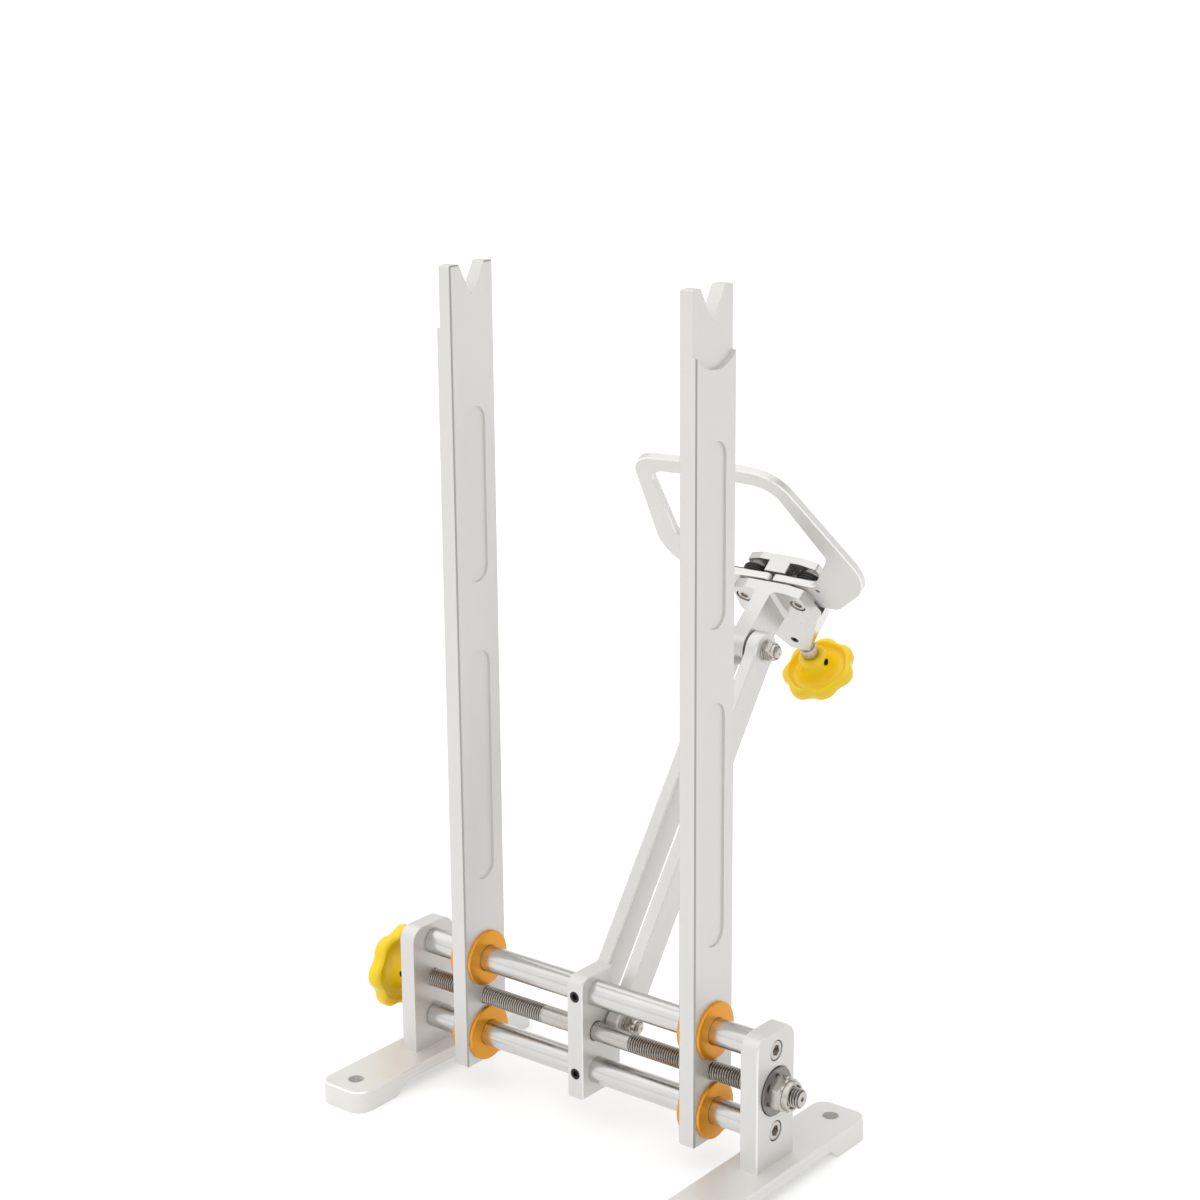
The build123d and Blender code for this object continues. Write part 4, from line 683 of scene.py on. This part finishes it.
# ---- Bushes of the uprights ---------------------------------------------------------------------
# Turned flanged bushes, anodised orange gold, that the guide rods slide through. One is pressed into
# each face of each upright, around each rod.
orange_anodised = finish_with("orange_anodised", turning, 0.55, Colour=(0.82, 0.34, 0.022, 1),
                              Roughness=0.32, Roughness_Spread=0.03, Cloud_Amount=0.05,
                              Scratch_Depth=0.004)
for side, body in ((-1, "left_upright"), (1, "right_upright")):
    stand_in(body + "_bush_set", "bush_bronze", body,
             [turn_up("bush", orange_anodised,
                      set_on((side * x, 0, z), (side * outward, 0, 0), (0, 0, 1)),
                      [(-4.9, 7.05), (-4.9, 8.8), (-4.7, 9.0), (0, 9.0), (0, 14.75), (0.25, 15.0),
                       (1.55, 15.0), (1.85, 14.85), (2.0, 14.5), (2.0, 7.3), (1.8, 7.05), (-4.9, 7.05)],
                      Sides=96)
              for x, outward in ((69.7, -1), (79.7, 1)) for z in rod_heights], body + "_bushes")

# ---- Arm ----------------------------------------------------------------------------------------
# Two aluminium bars with round eyes, bolted across the centre block's lug below and the caliper's lug
# above. Stiff nylon washers in both joints hold the arm wherever it is put.
dress(plate_aluminium, "arm_left_bar", "arm_right_bar")
nylon = finish_with("nylon", blast, 0.0, Colour=(0.78, 0.77, 0.73, 1), Roughness=0.5)
dress(nylon, "pivot_friction_washers")
arm_pivots = ((0, 16, 51), (0, 139.922, 224.732))
for name, (x, y, z) in zip(("lower_pivot_bolt", "upper_pivot_bolt"), arm_pivots):
    head = socket_screw("pivot_head", (-14.5, y, z), (-1, 0, 0), (0, 0, 1), 6, 34, 10, 6, 5)
    tail = grow("pivot_tail", threaded, screw_steel, set_on((14, y, z), (1, 0, 0), (0, 0, 1)),
                Length=0.008, Radius=0.003, Pitch=0.001, Depth=0.0006, Chamfer=0.0007,
                Drill_Radius=0.0009, Drill_Depth=0.0008, Rings=90)
    stand_in(name + "_pair", "stainless_steel", "arm", [head, tail], name)
stand_in("pivot_nut_pair", "stainless_steel", "arm",
         [lock_nut("pivot_nut", (14.5, y, z), (1, 0, 0), (0, 0.26, 0.97), 10, 6, 3.0)
          for x, y, z in arm_pivots], "pivot_lock_nuts")
stand_in("pivot_washer_set", "stainless_steel", "arm",
         [flat_washer("pivot_washer", screw_steel, (side * 13.5, y, z), (side, 0, 0), 6, 3, 1)
          for x, y, z in arm_pivots for side in (-1, 1)], "pivot_washers")

# ---- Caliper head -------------------------------------------------------------------------------
# A milled aluminium body with a slot for the claws, closed by a rear plate. Two shouldered screws
# cross the slot and are the claws' pivots.
head_aluminium = finish_with("head_aluminium", blast, 0.85, Colour=(0.63, 0.62, 0.60, 1), Roughness=0.27)
dress(head_aluminium, "caliper_body", "caliper_rear_plate", "spring_stop_block")
claw_pivot_x = 17.8
head_centre = Vector(arm_pivots[1])
tilt = math.radians(41.3)
head_back = Vector((0, math.cos(tilt), math.sin(tilt)))
head_up = Vector((0, -math.sin(tilt), math.cos(tilt)))


def on_head(x, up, depth):
    """A place on the head, in millimetres across, up the claws and back from the upper pivot."""
    return head_centre + Vector((x, 0, 0)) + head_up * up + head_back * depth


stand_in("claw_pivot_pair", "stainless_steel", "caliper_head",
         [socket_screw("claw_pivot", on_head(x, 0, 34.4), -head_back, (1, 0, 0), 6, 21.1, 8.5, 3, 4.25,
                       tip=(5, 4.5)) for x in (-claw_pivot_x, claw_pivot_x)], "claw_pivot_screws")
stand_in("rear_screw_pair", "stainless_steel", "caliper_head",
         [socket_screw("rear_screw", on_head(x, -27, 55.5), head_back, (1, 0, 0), 4, 13.5, 7, 2.4, 2.4,
                       knurl=0) for x in (-9, 9)], "rear_plate_screws")
dress(black_oxide, "caliper_body_grub_screw")
dress(screw_steel, "claw_thrust_washers", "claw_spacer_sleeves")

# ---- Claws --------------------------------------------------------------------------------------
# A mirrored pair cut from aluminium plate, hooked towards each other at the tips that meet the rim. Each
# turns on its pivot screw in the head's slot, between thin steel washers.
# The claws' chamfers are lightened by a gain over one: a painted highlight along their edges.
claw_aluminium = finish_with("claw_aluminium", blast, 0.6, Colour=(0.73, 0.72, 0.7, 1), Chamfer_Gain=1.25,
                             Chamfer_Way=(head_back.x, head_back.y, head_back.z, 1))
dress(claw_aluminium, "left_claw", "right_claw")

# ---- Claw springs -------------------------------------------------------------------------------
# Torsion springs of black spring wire round the sleeves. One leg hooks into the claw and the other
# rests on the stop block, so that they press the claws' tails down on the thrust pin.
wire_form, wire_in, wire_out = geometry_tree("wire_form", {"Wire Radius": 0.00075, "Bend Radius": 0.0012})
path = place(wire_form, "GeometryNodeMeshToCurve", Mesh=wire_in["Form"])
bent = place(wire_form, "GeometryNodeFilletCurve", {"mode": "POLY"}, Curve=path.outputs[0], Count=5,
             Radius=wire_in["Bend Radius"], Limit_Radius=True)
section = place(wire_form, "GeometryNodeCurvePrimitiveCircle", Resolution=14, Radius=wire_in["Wire Radius"])
swept = place(wire_form, "GeometryNodeCurveToMesh", Curve=bent.outputs[0],
              Profile_Curve=section.outputs["Curve"], Fill_Caps=True)
wire_smooth = place(wire_form, "GeometryNodeSetShadeSmooth", Geometry=swept.outputs[0])
wire_real = place(wire_form, "GeometryNodeRealizeInstances", Geometry=wire_smooth.outputs[0])
wire_coated = place(wire_form, "GeometryNodeSetMaterial", Geometry=wire_real.outputs[0],
                    Material=wire_in["Material"])
wire_form.links.new(wire_coated.outputs[0], wire_out.inputs[0])

spring_wire = finish_with("spring_wire", turning, 0.9, Colour=(0.045, 0.044, 0.043, 1), Roughness=0.25)
coil_radius, first_coil, last_coil, hook_depth = 7.3, 43.95, 48.75, 39.6
hook_spot, rest_spot = Vector((12.2, 7.0)), Vector((-9.85, -12.0))


def touch_angle(target, way):
    """Where on the coil a straight leg to a target leaves it."""
    return math.atan2(target.y, target.x) + way * math.acos(coil_radius / target.length)


coil_start = touch_angle(hook_spot, 1)
coil_turn = (touch_angle(rest_spot, -1) - coil_start) % math.tau + 3 * math.tau
steps = 100
for side, name in ((-1, "left"), (1, "right")):
    flat_path = [(hook_spot.x, hook_spot.y, hook_depth), (hook_spot.x, hook_spot.y, first_coil)]
    for step in range(steps + 1):
        angle = coil_start + coil_turn * step / steps
        flat_path.append((coil_radius * math.cos(angle), coil_radius * math.sin(angle),
                          first_coil + (last_coil - first_coil) * step / steps))
    flat_path.append((rest_spot.x, rest_spot.y, last_coil))
    spring = grow(name + "_spring", wire_form, spring_wire, Matrix.Identity(4),
                  [on_head(side * (claw_pivot_x + x), up, depth) for x, up, depth in flat_path])
    stand_in(name + "_torsion_spring", "black_steel", "caliper_head", [spring], name + "_claw_spring")

# ---- Caliper screw ------------------------------------------------------------------------------
# A stainless M8 screw up through the head's foot, with a smooth collar above its knob. A pin that
# slides in its end pushes the claws' tails up, which opens their tips against the springs.
dress(screw_steel, "thrust_pin")
screw_lean = math.radians(4.7)
screw_way = head_up * math.cos(screw_lean) + head_back * math.sin(screw_lean)
screw_nose = on_head(0, 2.9, 40.55)
thread_end, knob_rim, screw_end = 54, 70.5, 76.5
collar_steel = finish_with("collar_steel", turning, 1.0, Colour=(0.52, 0.49, 0.46, 1), Roughness=0.2)
thread = grow("caliper_thread", threaded, collar_steel,
              set_on(screw_nose - screw_way * thread_end, screw_way, (1, 0, 0)), Length=0.0389, Radius=0.004,
              Pitch=0.00125, Depth=0.00075, Drill_Radius=0.0016, Drill_Depth=0.008, Rings=320)
collar = turn_up("caliper_collar", collar_steel,
                 set_on(screw_nose - screw_way * screw_end, screw_way, (1, 0, 0)),
                 [(0, 0), (0, 3.9), (0.1, 4.0), (16, 4.0), (16, 4.6), (16.2, 4.8), (22.7, 4.8),
                  (23, 4.5), (23, 0)])
stand_in("caliper_screw_thread", "stainless_steel", "caliper_screw", [thread, collar], "caliper_screw")

# ---- Hand knob of the caliper screw -------------------------------------------------------------
# A slightly smaller moulding of the same shape and yellow plastic as the leadscrew's knob, fixed under
# the collar by its own grub screw.
stand_in("caliper_star_knob", "yellow_plastic", "caliper_screw",
         [star_knob("caliper_star", yellow_plastic, 21.5, screw_nose - screw_way * knob_rim, -screw_way,
                    (1, 0, 0), 4.0)], "caliper_knob")
dress(black_oxide, "caliper_knob_grub_screw")
